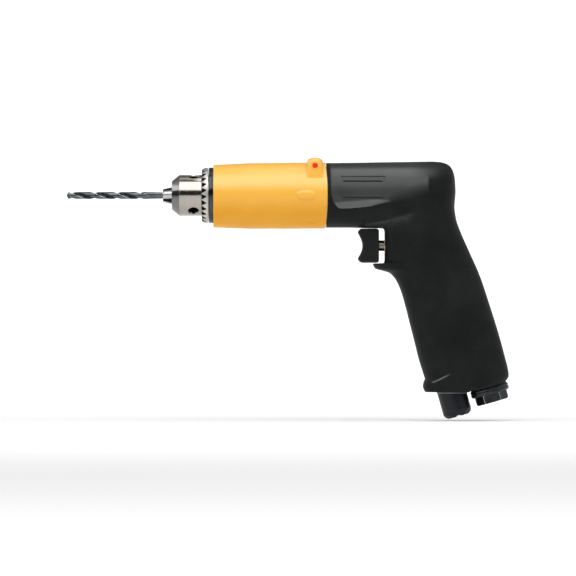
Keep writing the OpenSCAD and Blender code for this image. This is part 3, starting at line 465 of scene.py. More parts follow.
# Each section of the housing runs from a front point to a rear point of the side outline:
# front x, front z, rear x, rear z, half width, roundness of the front half and of the rear half
housing = Values(
    sections=[
        (-65.05, 40.1, -65.05, 76.05, 17.9, 2.0, 2.0), (-54.0, 40.1, -50.0, 76.2, 17.9, 2.0, 2.0),
        (-46.0, 39.9, -36.0, 76.45, 17.9, 2.1, 2.0), (-41.0, 39.75, -24.0, 76.6, 17.9, 2.7, 2.0),
        (-37.0, 39.75, -14.0, 76.75, 17.9, 3.3, 2.0), (-35.6, 39.75, -7.5, 76.85, 18.0, 3.7, 2.05),
        (-35.2, 39.7, -2.8, 76.55, 18.0, 3.9, 2.1), (-34.9, 39.65, 1.4, 75.3, 18.0, 4.0, 2.15),
        (-34.3, 39.5, 4.2, 72.2, 17.9, 4.0, 2.2), (-34.0, 39.2, 5.5, 67.2, 17.8, 4.0, 2.3),
        (-33.8, 38.8, 5.9, 60.0, 17.5, 4.0, 2.4), (-33.7, 38.2, 5.3, 52.0, 17.0, 4.0, 2.5),
        (-33.6, 37.0, 6.2, 45.0, 16.5, 4.0, 2.5), (-33.6, 34.0, 8.6, 38.0, 16.1, 3.9, 2.5),
        (-33.6, 26.0, 13.6, 26.6, 15.8, 3.5, 2.5), (-33.6, 22.0, 15.41, 22.6, 15.69, 3.1, 2.5),
        (-34.2, 20.45, 16.05, 21.2, 15.65, 2.9, 2.5), (-39.5, 20.2, 16.28, 20.7, 15.64, 2.7, 2.5),
        (-40.1, 19.9, 16.46, 20.3, 15.63, 2.6, 2.5), (-38.6, 17.3, 17.13, 18.8, 15.59, 2.5, 2.5),
        (-35.0, 16.3, 17.48, 18.0, 15.57, 2.45, 2.5), (-31.0, 15.0, 17.92, 17.0, 15.54, 2.4, 2.5),
        (-28.0, 12.1, 18.51, 15.6, 15.5, 2.4, 2.5), (-25.9, 8.4, 19.27, 13.7, 15.5, 2.4, 2.5),
        (-23.9, 3.1, 20.36, 10.8, 15.5, 2.4, 2.5), (-22.0, -3.6, 21.8, 6.6, 15.5, 2.4, 2.5),
        (-19.7, -12.7, 24.0, -0.2, 15.5, 2.4, 2.5), (-16.9, -23.7, 27.9, -12.4, 15.5, 2.4, 2.5),
        (-14.4, -33.6, 31.0, -22.8, 15.5, 2.4, 2.5), (-11.7, -42.2, 34.0, -34.2, 15.5, 2.4, 2.5),
        (-11.2, -43.9, 34.75, -37.0, 15.5, 2.4, 2.5), (-11.9, -45.8, 35.3, -39.9, 15.5, 2.4, 2.5),
        (-11.6, -48.2, 35.45, -42.1, 15.5, 2.4, 2.5), (-10.2, -51.6, 34.2, -44.9, 15.5, 2.4, 2.5),
        (-8.0, -58.0, 32.5, -52.0, 15.0, 2.4, 2.5),
    ],
    rings=290, sides=312, lipBelow=30.0, pocketWall=-33.6,
    footLevel=-51.2, seatX=14.4, seatZ=-50.2, seatStep=1.0, footFillet=0.5, footAfter=0.55, probes=400,
    soleShrink=(0.995, 0.985, 0.965, 0.8, 0.5, 0.2, 0.0), soleLift=(0.55, 0.2, 0, 0, 0, 0, 0),
    # the raised upper side and its flare
    raiseHeight=0.5, raiseEdge=0.45, raiseSoft=1.8, raiseCorner=0.8, raiseSoftens=(-46.0, -22.0),
    raiseFade=(-19.0, -8.0), raiseTop=(66.0, 75.0), farAway=40,
    raiseLow=[(-62.0, 50.4), (-59.0, 50.6), (-41.3, 51.7), (-22.2, 54.4), (-8.9, 58.1), (6.0, 62.0)],
    raiseFront=[(40.0, -58.0), (50.6, -60.4), (54.4, -62.2), (58.1, -63.3), (76.0, -63.7)],
    flareHeight=1.7, flareReach=4.6, flareFade=(-42.0, -24.0), flareClear=0.5, flareShine=0.62,
    # its satin finish, which also carries a painted highlight band along the shoulder and the flare
    satinCrisp=(-9.8, -9.2), satinFaded=(-21.5, -0.5), satinTop=(66.0, 70.0), satinSoft=8.0,
    sidePolish=0.6, crownPolish=0.3, shoulder=(67.0, 70.4), crown=(71.4, 74.4),
    # the bare plate recess
    plateX=(-57.8, -33.4), plateZ=(55.8, 68.4), plateFloor=18.1, plateWall=1.0, cutThick=4.0, cutSteps=24,
    grooveX=(-56.6, -34.9), grooves=((56.4, 57.2), (64.9, 65.8)), grooveFloor=17.3,
    # the crease above the web and the ledge at the foot
    crease=[(-48.0, 42.9), (-43.0, 43.9), (-20.8, 48.3), (-10.0, 50.4)], creaseOut=1.1, creaseReach=14.0,
    creaseWide=2.0, creaseShine=0.56, creaseIn=(-49.0, -43.0), creaseFade=(-22.0, -5.0),
    webFoot=(33.0, 37.0),
    ledge=[(-13.0, -45.4), (-5.8, -44.9), (4.2, -39.85), (12.0, -35.8)], ledgeOut=0.7, ledgeEdge=0.5,
    ledgeSoft=2.5, ledgeStart=(-9.0, -6.0), ledgeFade=(-1.0, 7.0), ledgeBelow=-30, ledgeGlint=0.6,
    # bores
    bowReach=-60.0, bowLimit=20, boreRadius=15.05, boreEnd=46.0, galleryRadius=11.0, galleryEnd=52.0,
    valveHeight=30.1, chamberRadius=6.5, chamberStart=29.0, chamberEnd=67.0, chamberSides=48,
)


def footHeight(x):
    # level foot, then the slanting seat of the inlet
    seat = housing.seatZ + (x - housing.seatX) * math.tan(drill.gripLean)
    return np.where(x < housing.seatX - housing.seatStep, housing.footLevel,
                    np.where(x > housing.seatX, seat, housing.seatZ))


def housingSurface(walk, angle):
    # section across the fan at `walk`, a rounded oval of two half powers, pushed out by the side forms
    table = np.array(housing.sections)
    step = np.diff(table[:, :4], axis=0)
    length = np.maximum(np.hypot(step[:, 0], step[:, 1]), np.hypot(step[:, 2], step[:, 3]))
    places = np.concatenate([[0], np.cumsum(length)])
    frontX, frontZ, rearX, rearZ, wide, frontPower, rearPower = (
        smoothThrough(walk * places[-1], places, column) for column in table.T)
    u, v = np.cos(angle), np.sin(angle)
    power = np.where(u < 0, frontPower, rearPower)
    u, v = (np.sign(w) * np.abs(w) ** (2 / power) for w in (u, v))
    # the middle leaves out the finger lip, so that only the front half follows it
    plainFront = np.where(rearZ < housing.lipBelow, np.maximum(frontX, housing.pocketWall), frontX)
    middleX, middleZ = (plainFront + rearX) / 2, (frontZ + rearZ) / 2
    halfX = np.where(u < 0, middleX - frontX, rearX - middleX)
    halfZ = np.where(u < 0, middleZ - frontZ, rearZ - middleZ)
    half = np.hypot(halfX, halfZ)
    x, y, z = middleX + halfX * u, wide * v, middleZ + halfZ * u
    outU, outV = (np.sign(w) * np.abs(w) ** (power - 1) / reach for w, reach in ((u, half), (v, wide)))
    size = np.hypot(outU, outV)
    push, edge, satin = sideForms(x, z, np.abs(outV) / size)
    x = x + push * outU / size * halfX / half
    z = z + push * outU / size * halfZ / half
    return np.stack([x, y + push * outV / size, z], -1), edge, satin


def sideForms(x, z, sideways):
    # heights over the side view: the raised upper side, which flares out towards its lower edge,
    # the shoulder of the web under the barrel, only where the wall faces sideways, and the foot's ledge
    above = z - lineHeight(x, housing.raiseLow)
    behind = x - lineHeight(z, housing.raiseFront)
    far, corner = housing.farAway, housing.raiseCorner
    inside = -np.log(sum(np.exp(-corner * np.clip(off, -far, far)) for off in (above, behind))) / corner
    softer = 1 - fadeOut(x, housing.raiseSoftens)
    risen = softStep(inside / (housing.raiseEdge + housing.raiseSoft * softer))
    flare = housing.flareHeight * np.clip(1 - above / housing.flareReach, 0, 1)
    flare = flare * fadeOut(x, housing.flareFade)
    flared = softStep(flare / housing.flareClear)
    push = risen * fadeOut(x, housing.raiseFade) * (housing.raiseHeight + flare)
    push = push * fadeOut(z, housing.raiseTop)
    # painted highlights by the edge mark: the flare's lower edge, the crease over the web and the foot's
    # ledge
    edge = housing.flareShine * risen * flared * (behind > 0)
    # the polish ends at a crisp line on the side and fades out along the shoulder
    satin = softStep(inside / (housing.raiseEdge + housing.satinSoft * softer))
    crisp, faded = fadeOut(x, housing.satinCrisp), fadeOut(x, housing.satinFaded)
    high = 1 - fadeOut(z, housing.satinTop)
    satin = satin * (crisp * (1 - high) + faded * high)
    # painted highlight band: the shoulder and the flare take the full mark, paler and glossier, the flat
    # side and the crown less of it
    side, crown = fadeOut(z, housing.shoulder), 1 - fadeOut(z, housing.crown)
    satin = satin * (1 - (1 - housing.sidePolish) * side * (1 - flared) - (1 - housing.crownPolish) * crown)
    below = lineHeight(x, housing.crease) - z
    shoulder = softStep(below / housing.creaseWide) * np.exp(-np.maximum(below, 0) / housing.creaseReach)
    web = fadeOut(x, housing.creaseFade) * (1 - fadeOut(x, housing.creaseIn))
    web = web * (1 - fadeOut(z, housing.webFoot))
    push = push + housing.creaseOut * shoulder * web * sideways ** 2
    edge = np.maximum(edge, housing.creaseShine * shoulder * web)
    below = lineHeight(x, housing.ledge) - z
    foot = fadeOut(x, housing.ledgeFade) * (z < housing.ledgeBelow)
    start = 1 - fadeOut(x, housing.ledgeStart)
    width = housing.ledgeEdge + housing.ledgeSoft * (1 - start)
    push = push + housing.ledgeOut * softStep(below / width) * foot
    glint = np.exp(-((below - housing.ledgeEdge) / housing.ledgeGlint) ** 2)
    return push, np.maximum(edge, glint * foot * start), satin


def plateCutter(side, reachX, reachZ, floor):
    # sector of a thick ring carried along the spindle, closed to its own middle at both ends
    sweep = np.linspace(*np.arccos((np.array(reachZ) - drill.spindleHeight) / floor), housing.cutSteps)
    angle = side * np.concatenate([sweep, sweep[::-1]])[None, :]
    radius = np.repeat([floor, floor + housing.cutThick], housing.cutSteps)[None, :]
    points = aroundSpindle(np.repeat(reachX, 2)[:, None] - drill.jointX, radius, angle)
    points[[0, -1], :, 1:] = points[[0, -1], :, 1:].mean(1, keepdims=True)
    return newPiece("plateCutter", [points])


def onPlate(x, y, z, slack=0.1):
    # where a point lies on the plate's floor or its grooves
    inX, inZ = ((place > reach[0] - slack) & (place < reach[1] + slack) for place, reach in (
        (x + drill.jointX, housing.plateX), (z + drill.spindleHeight, housing.plateZ)))
    return inX & inZ & (np.hypot(y, z) > housing.boreRadius + housing.plateWall)


def buildHousing():
    angle = fullTurn(housing.sides)
    # where each column of the loft meets the foot
    probe = np.linspace(housing.footAfter, 1.0, housing.probes)[:, None]
    trial, _, _ = housingSurface(np.broadcast_to(probe, (housing.probes, housing.sides)), angle)
    clear = trial[..., 2] - footHeight(trial[..., 0]) - housing.footFillet
    hit = np.argmax(clear < 0, axis=0)
    column = np.arange(housing.sides)
    part = clear[hit - 1, column] / (clear[hit - 1, column] - clear[hit, column])
    stop = (probe[hit - 1, 0] + part * (probe[hit, 0] - probe[hit - 1, 0]))[None, :]
    skin, edge, satin = housingSurface(np.linspace(0, 1, housing.rings)[:, None] * stop, angle)
    # foot: a small fillet, then rings that shrink to the middle of the sole
    rim, faceX = skin[-1], skin[0, 0, 0]
    middle = rim.mean(0)
    sole = middle + (rim - middle) * np.array(housing.soleShrink)[:, None, None]
    sole[..., 2] = footHeight(sole[..., 0]) + housing.footFillet * np.array(housing.soleLift)[:, None]
    # front: motor bore and air gallery, from their closed end to the front face
    inner = turned([(housing.galleryEnd, 0.0), (housing.galleryEnd, housing.galleryRadius),
                    (housing.boreEnd, housing.galleryRadius), (housing.boreEnd, housing.boreRadius),
                    (faceX - drill.jointX, housing.boreRadius)], angle)
    points = np.concatenate([inner, skin, sole])
    nearJoint = np.clip((housing.bowReach - points[..., 0]) / (housing.bowReach - faceX), 0, 1)
    height = np.clip(points[..., 2] - drill.spindleHeight, -housing.bowLimit, housing.bowLimit)
    points[..., 0] -= nearJoint * jointBow(height)
    marks = {name: np.concatenate([np.zeros(inner.shape[:2]), values, np.zeros(sole.shape[:2])])
             for name, values in (("edge", edge), ("satin", satin))}
    thing = newPiece("housingShell", [points], marks)
    # valve chamber, then the plate recess and its grooves on both sides
    chamber = turned([(housing.chamberStart, 0.0), (housing.chamberStart, housing.chamberRadius),
                      (housing.chamberEnd, housing.chamberRadius), (housing.chamberEnd, 0.0)],
                     fullTurn(housing.chamberSides))
    chamber[..., 2] += housing.valveHeight - drill.spindleHeight
    cutters = [newPiece("chamberCutter", [chamber])]
    for side in (-1, 1):
        cutters.append(plateCutter(side, housing.plateX, housing.plateZ, housing.plateFloor))
        cutters += [plateCutter(side, housing.grooveX, groove, housing.grooveFloor)
                    for groove in housing.grooves]
    cutAway(thing, cutters)
    markPoints(thing, "satin", lambda x, y, z: housing.sidePolish * onPlate(x, y, z))
    settle(thing, "root", "housing_plastic", ["housing"])


buildHousing()
print("housing done")


sleeve = Values(
    front=-63.6, rear=-0.3, frontRadius=17.45, radius=18.35, sag=0.4, taperEnd=-43.6, inner=16.25,
    stepAt=-30.0, step=0.1, stepSoft=0.8, frontRound=0.3, rearRound=0.22, bowFrom=-3.0, rubbed=(-0.55, 0.25),
    bossAt=-7.2, bossHalf=4.6, bossWide=15.7, bossTop=20.9, bossPower=14.0, bossEnds=2.4,
    bumpAt=-12.3, bumpHalf=5.4, bumpRadius=2.8, bumpRise=0.95, bumpPower=0.42,
    bumpAngles=(-90, -150, 150, 90), plugDrop=4.4, plugSides=48, plugRound=0.25,
    columns=396, frontRows=46, bumpRows=57, bossRows=61, rearRows=14, roundRows=5, fineFrom=5.8,
    fineReach=5.6, roundTo=4,
    plugLine=[(0, 0.5), (0.7, 0.43), (1.15, 0.22), (1.3, 0.2), (1.55, 0.3), (1.55, -1.6), (0, -1.6)],
)


def sleeveRadius(x, angle):
    # tapered shell that sags a little towards the front, raised to the boss's box where the boss is
    # longer, with oval bumps added
    taper = np.clip((x - sleeve.front) / (sleeve.taperEnd - sleeve.front), 0, 1)
    base = sleeve.frontRadius + (sleeve.radius - sleeve.frontRadius) * taper
    base = base + sleeve.step * softStep((x - sleeve.stepAt) / sleeve.stepSoft) - sleeve.step
    base = base - sleeve.sag * np.clip(x / sleeve.front, 0, 1) * np.cos(angle)
    p = sleeve.bossPower
    wide, tall = np.abs(np.sin(angle) / sleeve.bossWide), np.abs(np.cos(angle) / sleeve.bossTop)
    box = (wide ** p + tall ** p) ** (-1 / p)
    reach = np.clip(np.abs(x - sleeve.bossAt) / sleeve.bossHalf, 0, 1)
    window = (1 - reach ** sleeve.bossEnds) ** (1 / sleeve.bossEnds)
    boss = np.where(np.cos(angle) > 0, np.maximum(box - base, 0), 0) * window
    bumps = 0.0
    for degrees in sleeve.bumpAngles:
        off = (angle - math.radians(degrees) + math.pi) % turn - math.pi
        far = np.hypot((x - sleeve.bumpAt) / sleeve.bumpHalf, base * off / sleeve.bumpRadius)
        bumps = bumps + sleeve.bumpRise * np.clip(1 - far ** 2, 0, 1) ** sleeve.bumpPower
    return base + boss + bumps


def buildSleeve():
    angle = np.linspace(-math.pi, math.pi, sleeve.columns, endpoint=False)[None, :]
    # rows lie closer over the bumps and towards both ends of the boss
    x = np.concatenate([
        np.linspace(sleeve.front + sleeve.frontRound, sleeve.bumpAt - sleeve.fineFrom, sleeve.frontRows),
        np.linspace(sleeve.bumpAt - sleeve.fineReach, sleeve.bumpAt + sleeve.fineReach, sleeve.bumpRows),
        sleeve.bossAt + sleeve.bossHalf * np.sin(np.linspace(-1, 1, sleeve.bossRows) * quarter),
        np.linspace(sleeve.bossAt + sleeve.bossHalf, sleeve.rear - sleeve.rearRound, sleeve.rearRows)])
    x = np.unique(np.round(x, sleeve.roundTo))[:, None]
    outer = sleeveRadius(x, angle)
    bend = np.linspace(0, quarter, sleeve.roundRows)[1:, None]
    # rounded front and rear edges, then the inner wall from rear to front
    along = np.concatenate([x[0] - sleeve.frontRound * np.sin(bend[::-1]), x,
                            x[-1] + sleeve.rearRound * np.sin(bend), [[sleeve.rear], [sleeve.front]]])
    radius = np.concatenate([outer[:1] - sleeve.frontRound * (1 - np.cos(bend[::-1])), outer,
                             outer[-1:] - sleeve.rearRound * (1 - np.cos(bend)),
                             np.full((2, sleeve.columns), sleeve.inner)])
    nearJoint = np.clip((along - sleeve.bowFrom) / (sleeve.rear - sleeve.bowFrom), 0, 1)
    along = along - jointBow(radius * np.cos(angle)) * nearJoint
    # painted sheen: the upper half is paler and glossier, as where light falls from above
    rubbed = np.broadcast_to(1 - fadeOut(np.cos(angle), sleeve.rubbed), along.shape)
    thing = newPiece("frontSleeve", [aroundSpindle(along, radius, angle)], {"rubbed": rubbed},
                     rowsClosed=True)
    settle(thing, "root", "yellow_plastic", ["front_sleeve"], sharp=50)
    # plugs: a dome with a rolled rim, one on each face of the boss
    line = softLine(sleeve.plugLine, sleeve.plugRound, 4)
    ring, out = line[:, :1], line[:, 1:]
    circle = fullTurn(sleeve.plugSides)
    high = drill.spindleHeight + sleeve.bossTop - sleeve.plugDrop
    plugs = [np.stack(np.broadcast_arrays(
        drill.jointX + sleeve.bossAt + ring * np.cos(circle), side * (sleeve.bossWide + out),
        high + ring * np.sin(circle)), -1) for side in (-1, 1)]
    settle(newPiece("sleevePlugs", plugs), "root", "red_plastic", ["sleeve_plugs"])


buildSleeve()
print("front sleeve done")


chuck = Values(
    front=-86.7, rear=-62.8, radius=11.4, noseRadius=7.9, noseLength=4.2, throat=3.4, boreEnd=-70.0,
    threadRadius=4.78, groove=(-70.0, -68.0), grooveRadius=8.9, sides=192,
    bodyRounds=[0.4, 0.35, 0.3, 0.05, 0.05, 0.05, 0.05, 0.6, 0.2, 0.05, 0.05],
    noseSlack=0.05, hollowDeep=0.7, hollowReach=3.6,
    jawTip=-91.7, jawEnd=-68.0, jawRadius=2.5, jawAxis=1.25, jawSlope=math.radians(15), jawFlat=2.05,
    jawAngles=(20.5, 140.5, 260.5), jawSides=64, jawRows=14, flankFrom=0.55, flankSoft=0.2,
    # distance from the jaw's tip and share of its section
    jawTipRows=[(0.0, 0.0), (0.0, 0.72), (0.25, 0.93), (0.5, 1.0)],
    jawHole=(-4.0, 30.3), jawClear=0.06, jawHoleSides=40,
    # key holes halfway between the jaws: radius and distance from the spindle
    keyAt=-74.6, keyTurn=60, keySides=56,
    keyLine=[(0, 5.5), (2.5, 5.5), (2.5, 10.55), (3.65, 12.0), (0, 12.0)],
    collarFront=-70.0, collarRear=-66.4, collarRadius=15.25, collarInner=11.45, recess=12.52,
    recessEnd=-68.1, teeth=27, perTooth=24, toothBase=13.5, toothDepth=2.5, toothGap=0.44, toothFloor=0.03,
    toothShade=4, bevel=0.8, bevelLength=1.54,
    # front nut: x and radius of its rim, its spigot in the gear case and its web
    nut=[(-66.1, 12.0), (-66.1, 15.5), (-63.6, 15.5), (-63.6, 13.95), (-60.0, 13.95), (-60.0, 9.0),
         (-61.8, 9.0), (-61.8, 6.3), (-62.5, 6.3), (-62.5, 12.0)],
    nutRounds=[0.2, 0.3, 0.25, 0.05, 0.05, 0.05, 0.05, 0.05, 0.05, 0.05],
)


def slopingRod(degrees):
    # cylinder along a jaw's sloping axis, a little wider than the jaw
    circle = fullTurn(chuck.jawHoleSides)
    along = np.repeat(chuck.jawHole, 2)[:, None]
    size = (chuck.jawRadius + chuck.jawClear) * np.array([0, 1, 1, 0])[:, None]
    slope = chuck.jawSlope
    out = chuck.jawAxis + along * math.sin(slope) + size * np.cos(circle) * math.cos(slope)
    x = chuck.jawTip + along * math.cos(slope) - size * np.cos(circle) * math.sin(slope)
    return newPiece("jawCutter", [outFromSpindle(x, out, size * np.sin(circle), degrees)])


def keyHole(degrees):
    # straight hole that opens into a chamfer at the chuck's surface
    circle = fullTurn(chuck.keySides)
    line = np.array(chuck.keyLine)
    ring, out = line[:, :1], line[:, 1:]
    points = outFromSpindle(chuck.keyAt + ring * np.cos(circle), out, ring * np.sin(circle),
                            degrees + chuck.keyTurn)
    return newPiece("keyCutter", [points])


def buildChuck():
    # a turned profile, closed through its throat and thread
    line = softLine([
        (chuck.front, chuck.throat), (chuck.front, chuck.noseRadius),
        (chuck.front + chuck.noseLength, chuck.radius), (chuck.groove[0], chuck.radius),
        (chuck.groove[0], chuck.grooveRadius), (chuck.groove[1], chuck.grooveRadius),
        (chuck.groove[1], chuck.radius), (chuck.rear, chuck.radius), (chuck.rear, chuck.threadRadius),
        (chuck.boreEnd, chuck.threadRadius), (chuck.boreEnd, chuck.throat)],
        chuck.bodyRounds, closed=True)
    body = newPiece("chuckBody", [turned(line, fullTurn(chuck.sides))], rowsClosed=True)
    cutAway(body, [cutter(degrees) for cutter in (keyHole, slopingRod) for degrees in chuck.jawAngles])
    # painted shade: a darker nose cone, and near black inside the key and jaw holes
    markPoints(body, "nose", lambda x, y, z: x < chuck.front + chuck.noseLength - chuck.noseSlack)
    markPoints(body, "hollow", lambda x, y, z: (np.hypot(y, z) < chuck.radius - chuck.hollowDeep)
               & (np.abs(x - chuck.keyAt) < chuck.hollowReach))
    settle(body, "spindle", "chuck_steel", ["chuck_body"], sharp=28)


def buildCollar():
    # toothed ring: the front face steps back in a wedge between the teeth; rows give x, radius and
    # whether the wedge cuts them
    fine = fullTurn(chuck.teeth * chuck.perTooth)
    phase = np.abs((fine * chuck.teeth / turn + 0.5) % 1 - 0.5)
    sunk = np.clip((chuck.toothGap - phase) / (chuck.toothGap - chuck.toothFloor), 0, 1)
    front, rear, outer, bevel = chuck.collarFront, chuck.collarRear, chuck.collarRadius, chuck.bevel
    rows = np.array([
        (chuck.recessEnd, chuck.recess, 0), (front, chuck.recess, 0), (front, chuck.toothBase, 0),
        (front, chuck.toothBase + 0.02, 1), (front, outer - bevel, 1),
        (front + chuck.bevelLength / 2, outer - bevel / 2, 1), (front + chuck.bevelLength, outer, 1),
        (front + chuck.toothDepth + 0.05, outer, 1), (rear - 0.15, outer, 0), (rear - 0.05, outer - 0.05, 0),
        (rear, outer - 0.15, 0), (rear, chuck.collarInner, 0), (chuck.recessEnd, chuck.collarInner, 0)])
    level, cut = rows[:, :1], rows[:, 2:] > 0
    along = np.where(cut, np.maximum(level, front + chuck.toothDepth * sunk), level)
    # painted shade: near black on the floors of the notches between the teeth
    shade = np.clip((along - level) * chuck.toothShade, 0, 1)
    shade[2] = shade[3]
    collar = newPiece("toothedCollar", [aroundSpindle(along, rows[:, 1:2], fine)], {"hollow": shade},
                      rowsClosed=True)
    settle(collar, "chuck_sleeve", "chuck_steel", ["chuck_sleeve"], sharp=25, finish="collar_steel")


def buildNut():
    # a turned ring with a rolled rim
    line = softLine(chuck.nut, chuck.nutRounds, 6, closed=True)
    nut = newPiece("frontNut", [turned(line, fullTurn(chuck.sides))], rowsClosed=True)
    settle(nut, "root", "blued_steel", ["front_nut"], sharp=30)


def buildJaws():
    # section of a sloping round jaw, cut flat where it grips the bit, with a chamfered tip
    length = chuck.jawEnd - chuck.jawTip
    tip = np.array(chuck.jawTipRows)
    along = np.concatenate([tip[:, 0], np.linspace(1.0, length, chuck.jawRows), [length]])[:, None]
    inset = np.concatenate([tip[:, 1], np.ones(chuck.jawRows), [0.0]])[:, None]
    circle = fullTurn(chuck.jawSides)
    axis = chuck.jawAxis + along * math.tan(chuck.jawSlope)
    tall = chuck.jawRadius / math.cos(chuck.jawSlope)
    out = np.maximum(axis + tall * np.cos(circle), chuck.jawFlat)
    side = chuck.jawRadius * np.sin(circle)
    flatHalf = np.sqrt(np.clip(1 - ((chuck.jawFlat - axis) / tall) ** 2, 0, 1)) * chuck.jawRadius
    side = np.where(out <= chuck.jawFlat, np.clip(side, -flatHalf, flatHalf), side)
    core = (out.max(1, keepdims=True) + out.min(1, keepdims=True)) / 2
    out, side = core + (out - core) * inset, side * inset
    # painted shade: the jaw's flanks that face its neighbours are dark
    flank = np.broadcast_to(softStep((chuck.flankFrom - np.cos(circle)) / chuck.flankSoft), side.shape)
    for number, degrees in enumerate(chuck.jawAngles, 1):
        points = outFromSpindle(chuck.jawTip + along, out, side, degrees)
        jaw = newPiece(f"chuckJaw{number}", [points], {"flank": flank})
        settle(jaw, f"jaw_{number}", "jaw_steel", [f"jaw_{number}"], sharp=30)


buildChuck()
buildCollar()
buildNut()
buildJaws()
print("chuck done")


bit = Values(
    point=-145.3, length=75.0, radius=2.0, fluteLength=43.5, fluteStart=3.0, lead=25.1, runOut=2.5,
    pointHalf=math.radians(59), fluteDepth=0.55, fluteOpen=0.7, flutePower=0.6, margin=0.06, marginWide=0.08,
    rows=420, columns=144, tipRows=14, tipGap=0.12, pastFlutes=1,
    # distance from the shank's end and share of the radius
    endRows=[(0.4, 1.0), (0.15, 0.96), (0.0, 0.88), (0.0, 0.0)],
)


def buildBit():
    # two flutes: the radius falls in a hollow either side of each land, the whole section turns with x
    tip = bit.radius / math.tan(bit.pointHalf)
    end = np.array(bit.endRows)
    x = np.concatenate([np.linspace(0, tip, bit.tipRows),
                        np.linspace(tip + bit.tipGap, bit.fluteLength + bit.pastFlutes, bit.rows),
                        bit.length - end[:, 0]])[:, None]
    column = fullTurn(bit.columns)
    hollow = np.clip((np.abs(np.cos(column)) - bit.fluteOpen) / (1 - bit.fluteOpen), 0, 1) ** bit.flutePower
    fade = fadeOut(x, (bit.fluteLength - bit.runOut, bit.fluteLength))
    # the margin is a thin strip at one edge of each land, the rest of the land lies a little lower
    past = -column % math.pi - math.acos(bit.fluteOpen)
    margin = np.exp(-((past - bit.marginWide) / bit.marginWide) ** 2)
    lower = bit.margin * (hollow <= 0) * softStep((past - 2 * bit.marginWide) / bit.marginWide)
    radius = bit.radius * (1 - bit.fluteDepth * hollow * fade) - lower * fade
    radius = np.minimum(radius, np.maximum(x * math.tan(bit.pointHalf), 0.0))
    radius[-len(end):] *= end[:, 1:]
    angle = column - turn * (x - bit.fluteStart) / bit.lead
    points = aroundSpindle(x + bit.point, radius, angle + math.pi)
    # the flute mark carries painted shade into the flutes
    thing = newPiece("twistBit", [points], {"margin": margin * fade, "flute": hollow * fade})
    settle(thing, "bit", "dark_steel", ["drill_bit"], sharp=40)


buildBit()
print("bit done")


trigger = Values(
    outline=[(-36.7, 39.6), (-46.9, 39.6), (-48.75, 37.8), (-47.3, 35.2), (-46.2, 32.6), (-45.8, 30.1),
             (-46.2, 27.4), (-47.3, 24.9), (-48.75, 22.7), (-46.8, 20.6), (-36.7, 20.6)],
    rounding=[1.6, 0.7, 1.3, 1.5, 1.5, 1.5, 1.5, 1.5, 1.3, 1.4, 1.6], halfWidth=7.0, edgeRound=0.9,
    count=220, edgeRows=7, cheekShrink=(0.0, 0.5, 0.96), glint=0.7, glintIn=0.12, glintWide=0.14,
)


def buildTrigger():
    # the side outline, set in along its normal by a quarter circle at each cheek, and closed to the middle
    line = evenLoop(softLine(trigger.outline, trigger.rounding, 6, closed=True), trigger.count)
    tangent = np.roll(line, -1, 0) - np.roll(line, 1, 0)
    normal = np.stack([tangent[:, 1], -tangent[:, 0]], 1) / np.linalg.norm(tangent, axis=1)[:, None]
    middle = line.mean(0)
    inward = np.sign(((middle - line) * normal).sum(1).mean())
    bend = np.linspace(0, quarter, trigger.edgeRows)
    setIn = trigger.edgeRound * (1 - np.sin(bend))
    y = trigger.halfWidth - trigger.edgeRound * (1 - np.cos(bend))
    setIn, y = np.concatenate([setIn, setIn[::-1]]), np.concatenate([-y, y[::-1]])
    rings = line[None] + inward * setIn[:, None, None] * normal[None]
    shrink = np.array(trigger.cheekShrink)[:, None, None]
    cheeks = len(shrink)
    rings = np.concatenate([middle + (rings[:1] - middle) * shrink, rings,
                            middle + (rings[-1:] - middle) * shrink[::-1]])
    y = np.concatenate([np.full(cheeks, y[0]), y, np.full(cheeks, y[-1])])[:, None]
    points = np.stack(np.broadcast_arrays(rings[..., 0], y, rings[..., 1]), -1)
    inset = np.abs(y) - trigger.halfWidth + trigger.glintIn
    edge = trigger.glint * np.exp(-(inset / trigger.glintWide) ** 2) * np.ones(points.shape[:2])
    edge[:cheeks], edge[-cheeks:] = 0, 0
    thing = newPiece("fingerTrigger", [points], {"edge": edge})
    settle(thing, "trigger", "trigger_plastic", ["trigger"])


buildTrigger()
print("trigger done")


ports = Values(
    inletStart=(24.0, -47.42), inletSides=240, flangeRound=0.2,
    flange=[(-0.2, 5.72), (-11.0, 5.72), (-11.0, 8.0), (0.1, 8.0), (1.0, 8.0), (1.0, 10.2), (1.6, 10.8),
            (2.5, 10.8), (2.75, 10.55), (3.0, 10.8), (4.3, 10.8), (5.0, 10.0)],
    # rows of the hexagon: distance down the axis and how much its corners are turned down
    hexFlats=8.0, cornerFlat=0.14, hexagon=[(5.02, 0.0), (5.3, 0.0), (8.8, 0.0), (9.25, 0.35), (9.7, 0.9)],
    mouth=[(9.7, 6.5), (9.0, 5.72)], rimShine=0.4, rimFrom=10.7, footShine=0.8, cornerWide=0.035,
    silencerStart=(3.87, -51.6), silencerRadius=8.0, silencerLength=13.6, silencerRound=3.4,
    silencerSides=200, silencerRows=12, seatGap=0.05, collarHigh=0.7, collarFall=0.15, collarOut=0.12,
    lobes=6, lobeDepth=0.4, endDish=0.5, collarShine=(0.5, 0.9, 0.2),
)


